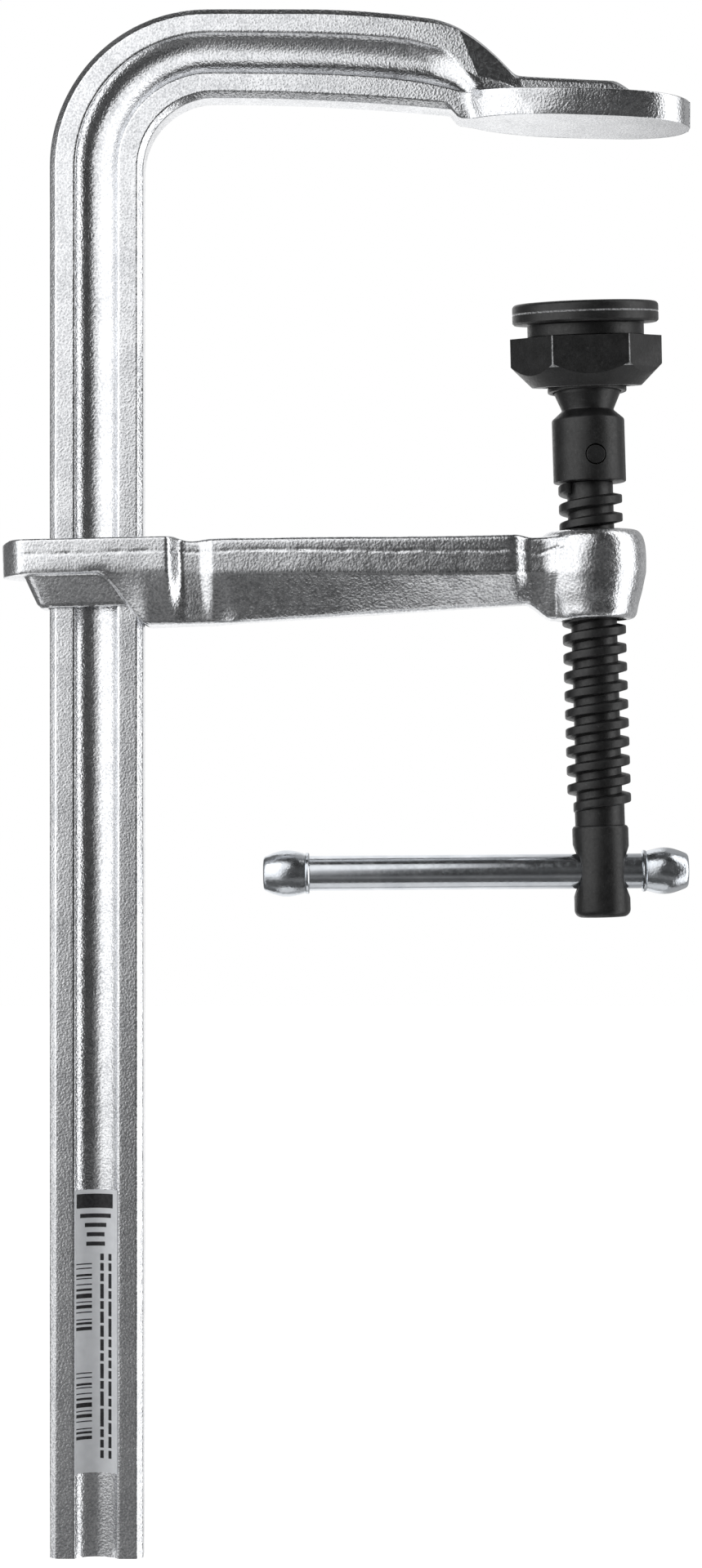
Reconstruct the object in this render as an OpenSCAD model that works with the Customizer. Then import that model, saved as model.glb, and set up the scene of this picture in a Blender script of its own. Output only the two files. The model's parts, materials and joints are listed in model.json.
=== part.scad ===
// All-steel screw clamp: a forged rail whose upper end is the fixed jaw, a sliding jaw that cants
// and locks on the rail, and a screw with a swivelling pressure pad and a sliding tommy bar.
// Origin: middle of the rail's lower end face. +Z runs up the rail, +X towards the screw.

/* [Rail] */
// Overall height, from the rail's lower end to the top of its arm
rail_height = 413; // [300:1:700]
// Width of the rail's section
rail_w = 25; // [22:0.5:32]
// Thickness of the rail's section
rail_t = 12; // [10:0.5:16]
// Bevel along the four corners of the rail
rail_bevel = 1.7; // [0.5:0.1:2.2]
// Width of the groove in each broad side
groove_w = 11.6; // [8:0.2:13]
// Depth of the groove in each broad side
groove_depth = 3; // [1:0.1:3.8]
// Radius of the bend on the outside
bend_outer_r = 42; // [35:1:60]
// Radius of the bend on the inside
bend_inner_r = 19; // [10:1:24]
// Height of the arm's section after the bend
arm_h = 23.9; // [20:0.1:28]
// Downward slope of the arm's underside, in degrees
arm_under_slope = 2.4; // [0:0.1:4]
// Downward slope of the arm's upper side, in degrees
arm_top_slope = 1.9; // [0:0.1:4]

/* [Fixed jaw] */
// Length of the foot that meets the work
foot_len = 61; // [40:1:80]
// Width of the foot
foot_w = 32.4; // [24:0.5:44]
// Thickness of the foot's rim
foot_rim = 7; // [4:0.1:10]
// Height of the middle of the pressure face, below the top of the arm
foot_drop = 30.5; // [27:0.1:36]
// Downward slope of the pressure face, in degrees
foot_slope = 1.8; // [0:0.1:5]
// Distance of the foot's tip beyond the screw's axis
foot_reach = 26; // [18:0.5:36]
// Width of the stiffening ridge on the foot
ridge_w = 7.4; // [5:0.2:12]
// Height of the stiffening ridge above the rim
ridge_h = 5.7; // [3:0.1:9]

/* [Sliding jaw] */
// Throat: from the rail's inner edge to the screw's axis
throat = 120; // [80:1:200]
// Height on the rail at which the jaw stands
jaw_z = 261.9; // [120:1:300]
// Lean of the jaw on the rail, in degrees
jaw_lean = 1.72; // [0:0.01:2.5]
// Play between the rail and the jaw's slot, across the width of the rail
slot_play_x = 0.6; // [0.5:0.05:1.5]
// Play between the rail and the jaw's slot, across its thickness
slot_play_y = 0.4; // [0.3:0.05:1]
// Steel behind the rail
loop_back = 12.2; // [8:0.1:18]
// Radius of the loop's nose, seen from above
nose_r = 22; // [18:0.5:40]
// Steel on each side of the rail
loop_side = 7.6; // [5:0.1:12]
// Height of the loop above the jaw's datum
loop_top = 9.6; // [7:0.1:14]
// Underside of the loop's flange above the jaw's datum
flange_under = 0; // [0:0.1:5]
// Depth of the loop's skirt below the jaw's datum
skirt_depth = 8.6; // [5:0.1:14]
// Thickness of the skirt's wall at its lower end
skirt_wall = 2.1; // [1.8:0.1:5]
// Depth of the arm below the jaw's datum, beside the loop
arm_depth = 14; // [9:0.1:20]
// Half-thickness of the arm's rim
arm_half_t = 11.5; // [7:0.1:12]
// Half-thickness of the arm's lower edge
arm_edge_half_t = 4; // [2:0.1:6]
// Height of the boss
boss_h = 24; // [18:0.5:36]
// Top of the boss above the jaw's datum
boss_top = 8.2; // [6:0.1:14]
// Diameter of the boss at its middle
boss_d = 28.8; // [25:0.2:36]
// Diameter of the boss at its lower end
boss_end_d = 23.4; // [22:0.2:30]
// Diameter of the boss at its upper end
boss_top_d = 26.6; // [22:0.2:32]

/* [Screw] */
// Outer diameter of the thread
thread_d = 17; // [14:0.1:18]
// Root diameter of the thread
thread_root_d = 12.3; // [10:0.1:14]
// Pitch of the right-hand thread
thread_pitch = 5; // [4:0.5:6]
// Width of the thread's crest
crest_w = 2.1; // [1:0.1:2.4]
// Width across the root between two threads
root_w = 1.7; // [1.2:0.1:2.4]
// Length of the threaded stretch
thread_len = 87; // [60:1:160]
// Free length of screw between the boss and the collar
screw_out = 13; // [2:0.5:50]
// Radial clearance between the two threads
thread_play = 0.25; // [0.15:0.05:0.4]
// Axial clearance between the two threads
thread_side_play = 0.3; // [0.2:0.05:0.4]
// Diameter of the plain neck between the thread and the head
neck_d = 13.3; // [12.6:0.1:14]
// Length of the plain neck
neck_len = 2.6; // [1:0.1:8]
// Diameter of the screw's head
head_d = 15; // [13:0.1:20]
// Height of the screw's head
head_h = 24.6; // [20:0.1:40]

/* [Ball stud] */
// Diameter of the stud's collar
collar_d = 19.4; // [17:0.1:24]
// Height of the stud's collar
collar_h = 16.8; // [12:0.1:24]
// Smallest diameter of the stud's neck
stud_neck_d = 13.7; // [10:0.1:16]
// Height of the neck above the collar
stud_neck_h = 2.5; // [1.5:0.1:5]
// Height of the cone above the neck
stud_cone_h = 4.5; // [3:0.1:8]
// Diameter of the stud under the ball
stud_shank_d = 17.6; // [15:0.1:18]
// Diameter of the ball
ball_d = 19.2; // [18.8:0.1:22]
// Diameter of the screw's journal inside the collar
journal_d = 11.4; // [8:0.1:12]
// Diameter of the cross pin
pin_d = 5; // [3:0.1:6]
// Height of the cross pin above the collar's lower face
pin_height = 6.7; // [5:0.1:9]
// Turn of the cross pin away from the front, in degrees
pin_turn = 7; // [0:1:20]
// Radial clearance of pieces that are fitted into one another
fit_play = 0.03; // [0.01:0.01:0.1]

/* [Pressure pad] */
// Width across the flats of the socket nut
nut_af = 35.1; // [32:0.1:40]
// Height of the socket nut
nut_h = 13.1; // [12:0.1:18]
// Lean of the pad towards the front on its ball, in degrees
pad_lean = 5.8; // [0:0.1:6]
// Height of the conical chamfer under the nut
nut_chamfer_h = 4.9; // [2:0.1:6]
// Diameter of the nut's lower face
nut_lower_d = 29.3; // [26:0.1:32]
// Radial play of the ball in its socket
ball_play = 0.3; // [0.2:0.05:0.5]
// Diameter of the pressure plate
plate_d = 39; // [34:0.5:50]
// Thickness of the pressure plate
plate_t = 5.4; // [4:0.1:8]
// Diameter of the plate's neck
plate_neck_d = 31.1; // [28:0.1:34]
// Height of the plate's neck
plate_neck_h = 3.6; // [2:0.1:6]
// Diameter of the plate's spigot inside the nut
spigot_d = 24; // [20:0.1:26]
// Length of the plate's spigot inside the nut
spigot_h = 3; // [2:0.1:4]
// Outer diameter of the retaining ring
ring_d = 21.1; // [20.5:0.1:22]
// Thickness of the retaining ring
ring_t = 1.3; // [0.8:0.1:1.5]

/* [Tommy bar] */
// Diameter of the bar
bar_d = 9.35; // [8:0.05:9.5]
// Overall length of the bar with its caps
bar_len = 113.6; // [90:0.5:150]
// Shift of the bar's middle away from the screw's axis
bar_shift = -33.7; // [-33.7:0.1:0]
// Slope of the bar, in degrees
bar_tilt = 0.43; // [0:0.01:1.7]
// Radial clearance of the bar in the head's cross hole
bar_play = 0.27; // [0.2:0.01:0.4]
// Diameter at the mouth of the cross hole's countersinks
countersink_d = 14.2; // [12:0.1:15]
// Length of an end cap
cap_len = 12.3; // [9:0.1:16]
// Largest diameter of an end cap
cap_d = 12.4; // [11.6:0.1:16]
// Diameter of an end cap's outer end
cap_outer_d = 9.4; // [8:0.1:11]
// Diameter of an end cap's inner end
cap_inner_d = 10.6; // [10.4:0.1:12]
// Thickness of an end cap's closed end
cap_wall = 2; // [1:0.1:4]

/* [Label] */
// Height of the label
label_h = 75.5; // [40:0.5:120]
// Height of the label's lower edge above the rail's end
label_z = 22.6; // [5:0.1:60]
// Thickness of the label
label_t = 0.15; // [0.1:0.05:0.4]

/* [Hidden] */
$fn = 96;
eps = 0.01;

zinc = [0.74, 0.75, 0.77];
black_oxide = [0.12, 0.12, 0.13];
bright_zinc = [0.82, 0.84, 0.88];
paper = [0.86, 0.87, 0.88];

// The jaw and everything on its screw stand in a frame of their own, which leans on the rail.
// Its origin is on the rail's centreline, its x runs along the arm and its z along the screw.
axis_x = (rail_w / 2 + throat) * cos(jaw_lean);
boss_bottom = boss_top - boss_h;
collar_bottom = boss_top + screw_out;
collar_top = collar_bottom + collar_h;
neck_top = collar_top + stud_neck_h;
cone_top = neck_top + stud_cone_h;
thread_top = collar_bottom - 2.2;
thread_bottom = thread_top - thread_len;
head_top = thread_bottom - neck_len;
head_bottom = head_top - head_h;
bar_z = head_top - head_h / 2;
// The shank meets the ball where the ball is as thick as the shank.
shank_h = 2.3;
ball_z = cone_top + shank_h + sqrt(pow(ball_d / 2, 2) - pow(stud_shank_d / 2, 2));
socket_r = ball_d / 2 + ball_play;
ring_bottom = cone_top + 0.4;
ring_top = ring_bottom + ring_t;
nut_bottom = ring_top + 0.3;
nut_top = nut_bottom + nut_h;
plate_bottom = nut_top + plate_neck_h;
plate_top = plate_bottom + plate_t;
ring_inner_d = stud_shank_d + 0.7;
// The recess under the nut lets the pad tilt round the ring.
recess_r = ring_d / 2 + 1.2;
recess_h = 2.3;

// Smooth step from 0 at a to 1 at b
function smooth(a, b, x) = let (t = min(1, max(0, (x - a) / (b - a)))) t * t * (3 - 2 * t);
function blend(p, q, k) = p * (1 - k) + q * k;
// Straight-line interpolation in a list of [x, value] pairs, eased between them
function eased(list, x) =
    x <= list[0][0] ? list[0][1] :
    x >= list[len(list) - 1][0] ? list[len(list) - 1][1] :
    let (i = [for (k = [0 : len(list) - 2]) if (list[k][0] <= x) k])
    let (k = i[len(i) - 1])
    blend(list[k][1], list[k + 1][1], smooth(list[k][0], list[k + 1][0], x));

// Closed solid through a list of rings with equally many points, which run anticlockwise seen from the
// last ring's side
module loft(rings) {
    n = len(rings[0]);
    last = (len(rings) - 1) * n;
    polyhedron(
        points = [for (ring = rings) each ring],
        faces = concat(
            [[for (i = [0 : n - 1]) i]],
            [[for (i = [n - 1 : -1 : 0]) last + i]],
            [for (j = [0 : len(rings) - 2], i = [0 : n - 1])
                let (a = j * n + i, b = j * n + (i + 1) % n) each [[a, a + n, b + n], [a, b + n, b]]]));
}

// A whole ring from its half, which lists [y, z] from the bottom to the top on one side.
function whole_ring(half) = concat(
    half,
    [for (i = [len(half) - 1 : -1 : 0]) [-half[i][0], half[i][1]]]);

/* ---------- rail ---------- */

groove_steps = 10;
shoulder = 0.7;
// Upright forged faces are slightly crowned.
crown = 0.15;
outer_c = [-rail_w / 2 + bend_outer_r, rail_height - bend_outer_r];
inner_c = [rail_w / 2 + bend_inner_r, rail_height - arm_h - bend_inner_r];
foot_tip = rail_w / 2 + throat + foot_reach;
foot_start = foot_tip - foot_len;
foot_mid = foot_tip - foot_len / 2;
neck_start = foot_start - 9;
ridge_start = foot_start + 14.5;
ridge_end = foot_tip - 16;
bend_steps = 14;

// The groove is an arc; its shoulders are rounded off over a short stretch.
groove_r = (pow(groove_w / 2, 2) + pow(groove_depth, 2)) / (2 * groove_depth);
function groove_at(u) =
    let (arc = sqrt(max(0, groove_r * groove_r - u * u)) - (groove_r - groove_depth)) max(0, arc);

// Half of the rail's section as [y, s], with s measured from the inner edge; h is the section's height
function rail_half(h) = concat(
    [[rail_t / 2 - rail_bevel, 0], [rail_t / 2, rail_bevel],
     [rail_t / 2, h / 2 - groove_w / 2 - shoulder / 2]],
    [for (i = [0 : groove_steps])
        let (u = -groove_w / 2 + shoulder / 3 + (groove_w - shoulder / 1.5) * i / groove_steps)
        [rail_t / 2 - groove_at(u), h / 2 + u]],
    [[rail_t / 2, h / 2 + groove_w / 2 + shoulder / 2],
     [rail_t / 2, h - rail_bevel], [rail_t / 2 - rail_bevel, h]]);

// A ring of the rail between a point on its inner edge and one on its outer edge, both [x, z]
function rail_ring(p, q) =
    let (h = norm(q - p), d = (q - p) / h)
    [for (v = whole_ring(rail_half(h))) [p[0] + d[0] * v[1], v[0], p[1] + d[1] * v[1]]];

function arm_under(x) = rail_height - arm_h - (x - inner_c[0]) * tan(arm_under_slope);
function arm_top(x) = rail_height - (x - outer_c[0]) * tan(arm_top_slope);
function foot_under(x) = rail_height - foot_drop - (x - foot_mid) * tan(foot_slope);
function rim_top(x) = foot_under(x) + foot_rim;

// Half-width of the foot's plan, an oval that is fuller towards the tip
function foot_half(x) =
    let (u = abs(x - foot_mid) / (foot_len / 2))
    foot_w / 2 * pow(max(0, 1 - pow(u, x < foot_mid ? 2.3 : 3.4)), 0.5);

// Line of the arm's back as it comes down to the ridge, and of the ridge down to the rim
function back_line(x) =
    let (fall = smooth(neck_start - 6.5, ridge_start + 3.5, x), level = rim_top(x) + ridge_h)
    let (neck = blend(arm_top(x), level, pow(fall, 1.75)))
    blend(neck, rim_top(x) + 0.4, smooth(ridge_end - 5.5, ridge_end + 5, x));

// Half of a section across the neck and the foot, at a given x
function foot_section(x) =
    let (low = blend(arm_under(x), foot_under(x), smooth(foot_start - 3.5, foot_start + 0.8, x)))
    let (top = back_line(x), rim = rim_top(x))
    let (h = top - low)
    let (arm = [for (p = rail_half(arm_top(x) - arm_under(x))) [p[0], low + p[1] * h / (arm_top(x) - arm_under(x))]])
    let (b = max(foot_half(x), 2.4), r = min(ridge_w / 2, b * 0.45), up = top - rim)
    let (foot = [[b - 0.6, low], [b, low + 0.6], [b + crown, low + foot_rim * 0.45],
                 [b, rim - 2], [b - 0.25, rim - 1.1], [b - 0.7, rim - 0.4], [b - 1.5, rim],
                 [blend(r, b, 0.7), rim + up * 0.02], [blend(r, b, 0.45), rim + up * 0.05],
                 [blend(r, b, 0.25), rim + up * 0.1], [blend(r, b, 0.12), rim + up * 0.2],
                 [blend(r, b, 0.05), rim + up * 0.34], [r, rim + up * 0.5], [r * 0.98, rim + up * 0.65],
                 [r * 0.96, rim + up * 0.78], [r * 0.9, rim + up * 0.88], [r * 0.6, top]])
    let (wide = smooth(foot_start - 4, foot_start + 9, x), high = smooth(foot_start - 7, foot_start + 7, x))
    [for (i = [0 : len(arm) - 1]) blend(arm[i], foot[i], i < 6 ? wide : high)];

function foot_ring(x) = [for (v = whole_ring(foot_section(x))) [x, v[0], v[1]]];

module rail() {
    straight = [for (z = [0, inner_c[1] * 0.97]) rail_ring([rail_w / 2, z], [-rail_w / 2, z])];
    bend = [for (i = [0 : bend_steps])
        let (a = 90 * i / bend_steps, d = [-cos(a), sin(a)])
        rail_ring(inner_c + bend_inner_r * d, outer_c + bend_outer_r * d)];
    arm = [for (x = [outer_c[0] + 8 : (neck_start - 8 - outer_c[0]) / 4 : neck_start])
        rail_ring([x, arm_under(x)], [x, arm_top(x)])];
    neck = [for (x = [neck_start + 2 : 2 : foot_mid - 8]) foot_ring(x)];
    foot = [for (a = [-15 : 7.5 : 82.5]) foot_ring(foot_mid + foot_len / 2 * sin(a))];
    color(zinc) loft(concat(straight, bend, arm, neck, foot, [foot_ring(foot_tip)]));
}

module size_label() {
    outer_r = groove_r - 0.06;
    color(paper) translate([0, -rail_t / 2 + groove_depth - groove_r, label_z]) linear_extrude(label_h)
        intersection() {
            difference() {
                circle(outer_r);
                circle(outer_r - label_t);
            }
            translate([-groove_w / 2 + 0.4, groove_r - groove_depth + 0.1])
                square([groove_w - 0.8, groove_depth]);
        }
}

/* ---------- the leaning jaw ---------- */

module leaning() {
    translate([0, 0, jaw_z]) rotate([0, -jaw_lean, 0]) children();
}

module on_screw() {
    leaning() translate([axis_x, 0, 0]) children();
}

slot_half_x = rail_w / 2 + slot_play_x;
slot_half_y = rail_t / 2 + slot_play_y;
loop_half_y = slot_half_y + loop_side;
loop_left = -slot_half_x - loop_back;
loop_right = slot_half_x + 7;
waist_x = loop_right + 5.4;
arm_start = loop_right + 11;
arm_end = axis_x - 21;
second_waist_x = axis_x - 16;
jaw_rim_bottom = -0.85;

// Lower edge of the jaw's outer body
function jaw_low(x) =
    x < arm_start ? blend(flange_under, -arm_depth, pow(smooth(-1, slot_half_x + 1, x), 1.2)) :
    blend(-arm_depth, boss_bottom + 5.2, (x - arm_start) / (axis_x - arm_start))
        - 3.4 * smooth(axis_x - 18.5, axis_x - 12, x);

// Upper edge, crease under the rim, and half-thickness at the rim and at the lower edge
function jaw_high(x) = eased([[loop_left, loop_top - 0.8], [loop_left + 5, loop_top], [loop_right, loop_top - 0.3],
    [waist_x, loop_top - 1.5], [arm_start, loop_top - 1.1], [arm_end, boss_top - 0.9],
    [second_waist_x, boss_top - 1.7], [axis_x, boss_top - 1.2]], x);
function jaw_crease(x) = max(jaw_low(x) + 0.3, eased([[0, flange_under + 1.6], [slot_half_x, 0.6], [waist_x, -0.3],
    [arm_start, jaw_rim_bottom],
    [arm_end, jaw_rim_bottom - 2.1], [axis_x, jaw_rim_bottom - 2.1]], x));
function jaw_rim_half(x) =
    let (rim = eased([[loop_right - 0.6, loop_half_y], [loop_right + 3.1, arm_half_t - 1.5],
        [loop_right + 7.7, arm_half_t - 1.2], [arm_start, arm_half_t], [arm_end, arm_half_t],
        [second_waist_x - 1.5, arm_half_t - 1.9], [second_waist_x + 2, arm_half_t - 1.9],
        [second_waist_x + 7.3, arm_half_t - 1.1]], x))
    let (back = loop_left + nose_r - x, nose = sqrt(max(0.01, nose_r * nose_r - back * back)))
    back < 0 ? rim : (rim + nose - sqrt(pow(rim - nose, 2) + 0.8)) / 2;
function jaw_edge_half(x) =
    min(jaw_rim_half(x) - 0.5, eased([[-4, loop_half_y - 0.5], [slot_half_x + 2, loop_half_y - 6],
        [waist_x, arm_edge_half_t + 0.4], [arm_start, arm_edge_half_t], [arm_end, arm_edge_half_t],
        [axis_x, arm_edge_half_t + 1]], x));

function jaw_ring(x) =
    let (lo = jaw_low(x), hi = jaw_high(x), cr = jaw_crease(x), yr = jaw_rim_half(x), ye = jaw_edge_half(x))
    let (e = min(1.1, (cr - lo) * 0.4))
    let (half = [[ye - e, lo], [ye, lo + e], [blend(ye, yr, 0.3), blend(lo + e, cr, 0.35)],
        [blend(ye, yr, 0.65), blend(lo + e, cr, 0.7)], [yr - 0.5, cr], [yr, cr + 0.7],
        [yr + crown, blend(cr, hi, 0.5)], [yr, hi - 2.2], [yr - 0.5, hi - 0.9], [yr - 1.8, hi]])
    [for (v = whole_ring(half)) [x, v[0], v[1]]];

// A drafted ring of steel round the rail, under the flange
module skirt() {
    function corner_ring(x0, x1, y, r, z) = [for (c = [[x1 - r, y - r, 0], [x0 + r, y - r, 90],
            [x0 + r, -y + r, 180], [x1 - r, -y + r, 270]], a = [0 : 22.5 : 90])
        [c[0] + r * cos(a + c[2]), c[1] + r * sin(a + c[2]), z]];
    left = loop_left + 5.6;
    right = slot_half_x + 3;
    low_y = slot_half_y + skirt_wall;
    loft([corner_ring(left + 4.8, right, low_y, 4, -skirt_depth),
          corner_ring(left + 3.7, right, low_y + 0.6, 4, -skirt_depth + 1),
          corner_ring(left + 0.3, right, low_y + 3.8, 5, flange_under + 0.4),
          corner_ring(left, right, low_y + 4.1, 5, flange_under + 4)]);
}

module boss() {
    edge = 1.6;
    bulge = boss_d / 2 - (boss_end_d + boss_top_d) / 4;
    steps = 12;
    rotate_extrude()
        polygon(concat(
            [[0, boss_bottom], [boss_end_d / 2 - edge, boss_bottom]],
            [for (i = [0 : steps])
                let (t = i / steps)
                [blend(boss_end_d, boss_top_d, t) / 2 + bulge * sin(180 * t),
                 boss_bottom + edge + (boss_h - 2 * edge) * t]],
            [[boss_top_d / 2 - edge, boss_top], [0, boss_top]]));
}

flank_w = (thread_pitch - crest_w - root_w) / 2;

// Ridge of the jaw's thread, in the screw's groove. Its middle starts at z, on the far side from the arm.
module inner_thread(z, turns) {
    per_turn = 24;
    wall_r = thread_d / 2 + thread_play;
    tip_r = thread_root_d / 2 + thread_play;
    tip = root_w / 2 - thread_side_play + flank_w * thread_play / (thread_d - thread_root_d) * 2;
    foot = tip + flank_w;
    loft([for (i = [0 : turns * per_turn])
        let (a = i * 360 / per_turn, up = z + thread_pitch * i / per_turn)
        [for (p = [[tip_r, tip], [wall_r + 0.5, foot], [wall_r + 0.5, -foot], [tip_r, -tip]])
            [p[0] * cos(a), p[0] * sin(a), up + p[1]]]]);
}

module sliding_jaw() {
    loop_xs = [for (d = [0.15, 0.8, 1.9, 3.1, 4.2, 5, 5.8, 7]) loop_left + d];
    body_xs = concat([for (x = [loop_left + 10 : 3 : loop_right - 2]) x],
        [for (x = [loop_right - 0.6 : 1.25 : arm_start]) x]);
    arm_xs = [for (i = [1 : 4]) arm_start + (arm_end - arm_start) * i / 4];
    end_xs = [for (x = [arm_end + 1.5 : 1.65 : axis_x - boss_d / 2 + 5.2]) x];
    color(zinc) leaning() {
        difference() {
            union() {
                loft([for (x = concat(loop_xs, body_xs, arm_xs, end_xs)) jaw_ring(x)]);
                skirt();
                translate([axis_x, 0, 0]) boss();
            }
            translate([-slot_half_x, -slot_half_y, -arm_depth - 10])
                cube([2 * slot_half_x, 2 * slot_half_y, arm_depth + loop_top + 20]);
            translate([axis_x, 0, boss_bottom - 1]) cylinder(r = thread_d / 2 + thread_play, h = boss_h + 2);
        }
        translate([axis_x, 0, 0]) inner_thread(inner_thread_z, inner_turns);
    }
}

/* ---------- screw ---------- */

// The thread's first and last turns are sunk in the neck and in the plain stretch under the collar.
thread_start = thread_bottom - 1.9;
thread_turns = floor((collar_bottom - 1.1 - thread_start) / thread_pitch) - 1;
plain_start = thread_start + thread_pitch * thread_turns - 0.5;
// The jaw's ridge lies half-way between two crests, a whole number of turns above the thread's start.
groove_mid = thread_start + crest_w + 2 * flank_w + root_w / 2;
inner_thread_z = groove_mid + thread_pitch * ceil((boss_bottom + 2.2 - groove_mid) / thread_pitch);
inner_turns = floor((boss_top - 2.2 - inner_thread_z) / thread_pitch * 4) / 4;

// Solid screw thread with its core. Both ends fade to the root, and are meant to lie in a plain stretch.
module screw_thread(z, turns) {
    steps = 24;
    offsets = [0, flank_w, flank_w + crest_w, 2 * flank_w + crest_w];
    rows = 4 * turns + 5;
    root = thread_root_d / 2;
    tall = (thread_d - thread_root_d) / 2;
    function height(u) = tall * smooth(0.3, 0.9, u) * (1 - smooth(turns - 0.75, turns - 0.15, u));
    function corner(m, i) =
        let (u = floor(m / 4) + i / steps, j = m % 4, a = 360 * i / steps)
        let (r = root + (j == 1 || j == 2 ? height(u) : 0))
        [r * cos(a), r * sin(a), z + thread_pitch * u + offsets[j]];
    function at(m, i) = i < steps ? m * steps + i : (m + 4) * steps;
    low_loop = concat([for (i = [0 : steps - 1]) at(0, i)], [for (m = [4 : -1 : 1]) at(m, 0)]);
    top_loop = concat([for (i = [0 : steps - 1]) at(rows - 5, i)], [for (m = [rows - 1 : -1 : rows - 4]) at(m, 0)]);
    low_mid = rows * steps;
    polyhedron(
        points = concat([for (m = [0 : rows - 1], i = [0 : steps - 1]) corner(m, i)],
            [[0, 0, z + thread_pitch / 2], [0, 0, z + thread_pitch * (turns + 0.5)]]),
        faces = concat(
            [for (m = [0 : rows - 6], i = [0 : steps - 1])
                each [[at(m, i), at(m + 1, i), at(m + 1, i + 1)], [at(m, i), at(m + 1, i + 1), at(m, i + 1)]]],
            [for (k = [0 : len(low_loop) - 1]) [low_mid, low_loop[k], low_loop[(k + 1) % len(low_loop)]]],
            [for (k = [0 : len(top_loop) - 1]) [low_mid + 1, top_loop[(k + 1) % len(top_loop)], top_loop[k]]]));
}

module head_blank() {
    r = head_d / 2;
    round_r = 2;
    rotate_extrude()
        polygon(concat([[0, head_bottom]],
            [for (a = [0 : 15 : 90]) [r - round_r + round_r * sin(a), head_bottom + round_r * (1 - cos(a))]],
            [[r, head_top - 0.8], [r - 0.8, head_top], [0, head_top]]));
}

// Turned so that the hole runs along the bar
module along_bar() {
    translate([0, 0, bar_z]) rotate([0, 90 + jaw_lean - bar_tilt, 0]) children();
}

cross_r = bar_d / 2 + bar_play;
sink_h = countersink_d / 2 - cross_r;

module spindle() {
    color(black_oxide) on_screw() {
        difference() {
            union() {
                screw_thread(thread_start, thread_turns);
                translate([0, 0, head_top - eps]) cylinder(d = neck_d, h = neck_len + thread_pitch + 0.4);
                translate([0, 0, plain_start])
                    cylinder(d = thread_root_d + 0.2, h = collar_bottom - plain_start - fit_play);
                translate([0, 0, collar_bottom - 4]) cylinder(d = journal_d, h = 4 + journal_h);
                head_blank();
            }
            along_bar() {
                translate([0, 0, -head_d]) cylinder(r = cross_r, h = 2 * head_d);
                for (side = [-1, 1]) scale([1, 1, side])
                    translate([0, 0, head_d / 2 - sink_h])
                        cylinder(r1 = cross_r, r2 = cross_r + sink_h * 2, h = sink_h * 2);
            }
            stud_cross_hole();
        }
    }
}

journal_h = 12.4;

module stud_cross_hole() {
    translate([0, 0, collar_bottom + pin_height]) rotate([90, 0, pin_turn])
        cylinder(d = pin_d + 2 * fit_play, h = collar_d + 4, center = true);
}

module ball_stud() {
    edge = 0.6;
    color(black_oxide) on_screw() difference() {
        union() {
            rotate_extrude()
                polygon([[0, collar_bottom], [collar_d / 2 - edge, collar_bottom],
                    [collar_d / 2, collar_bottom + edge], [collar_d / 2, collar_top],
                    [stud_neck_d / 2, neck_top], [stud_shank_d / 2, cone_top],
                    [stud_shank_d / 2, cone_top + shank_h], [0, cone_top + shank_h]]);
            translate([0, 0, ball_z]) sphere(d = ball_d);
        }
        translate([0, 0, collar_bottom - 1]) cylinder(d = journal_d + 2 * fit_play, h = 1 + journal_h + 0.3);
        stud_cross_hole();
    }
}

module stud_pin() {
    color(black_oxide) on_screw()
        translate([0, 0, collar_bottom + pin_height]) rotate([90, 0, pin_turn])
            cylinder(d = pin_d, h = collar_d - 0.7, center = true);
}

module retaining_ring() {
    color(black_oxide) on_screw() translate([0, 0, ring_bottom]) difference() {
        cylinder(d = ring_d, h = ring_t);
        translate([0, 0, -1]) cylinder(d = ring_inner_d, h = ring_t + 2);
    }
}

/* ---------- pressure pad ---------- */

// The pad leans on the ball.
module on_ball() {
    on_screw() translate([0, 0, ball_z]) rotate([pad_lean, 0, 0]) translate([0, 0, -ball_z]) children();
}

module socket_nut() {
    corner_r = nut_af / 2 / cos(30);
    out = nut_chamfer_h / (corner_r - nut_lower_d / 2);
    color(black_oxide) on_ball() difference() {
        intersection() {
            translate([0, 0, nut_bottom]) cylinder(r = corner_r, h = nut_h, $fn = 6);
            translate([0, 0, nut_bottom])
                rotate_extrude() polygon([[0, 0], [nut_lower_d / 2, 0], [corner_r + 1, nut_chamfer_h + out],
                    [corner_r + 1, nut_h + 1], [0, nut_h + 1]]);
        }
        translate([0, 0, ball_z]) sphere(r = socket_r);
        translate([0, 0, nut_bottom - 1]) cylinder(r = recess_r, h = recess_h + 1);
        translate([0, 0, nut_top - spigot_h - 0.1]) cylinder(d = spigot_d + 2 * fit_play, h = spigot_h + 1);
    }
}

module pressure_plate() {
    round_r = 1.1;
    groove_z = plate_bottom + plate_t * 0.5;
    color(black_oxide) on_ball() difference() {
        union() {
            translate([0, 0, nut_top - spigot_h]) cylinder(d = spigot_d, h = spigot_h + 1);
            translate([0, 0, nut_top]) cylinder(d = plate_neck_d, h = plate_neck_h + 1);
            rotate_extrude()
                polygon(concat([[0, plate_bottom], [plate_d / 2 - 0.5, plate_bottom], [plate_d / 2, plate_bottom + 0.5],
                    [plate_d / 2, groove_z - 0.15], [plate_d / 2 - 0.2, groove_z], [plate_d / 2, groove_z + 0.15]],
                    [for (a = [0 : 15 : 90])
                        [plate_d / 2 - round_r * (1 - cos(a)), plate_top - round_r * (1 - sin(a))]],
                    [[0, plate_top]]));
        }
        translate([0, 0, ball_z]) sphere(r = socket_r);
    }
}

/* ---------- tommy bar ---------- */

module tommy_bar() {
    color(bright_zinc) on_screw() along_bar() translate([0, 0, bar_shift - bar_len / 2 + cap_wall])
        cylinder(d = bar_d, h = bar_len - 2 * cap_wall);
}

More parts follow.
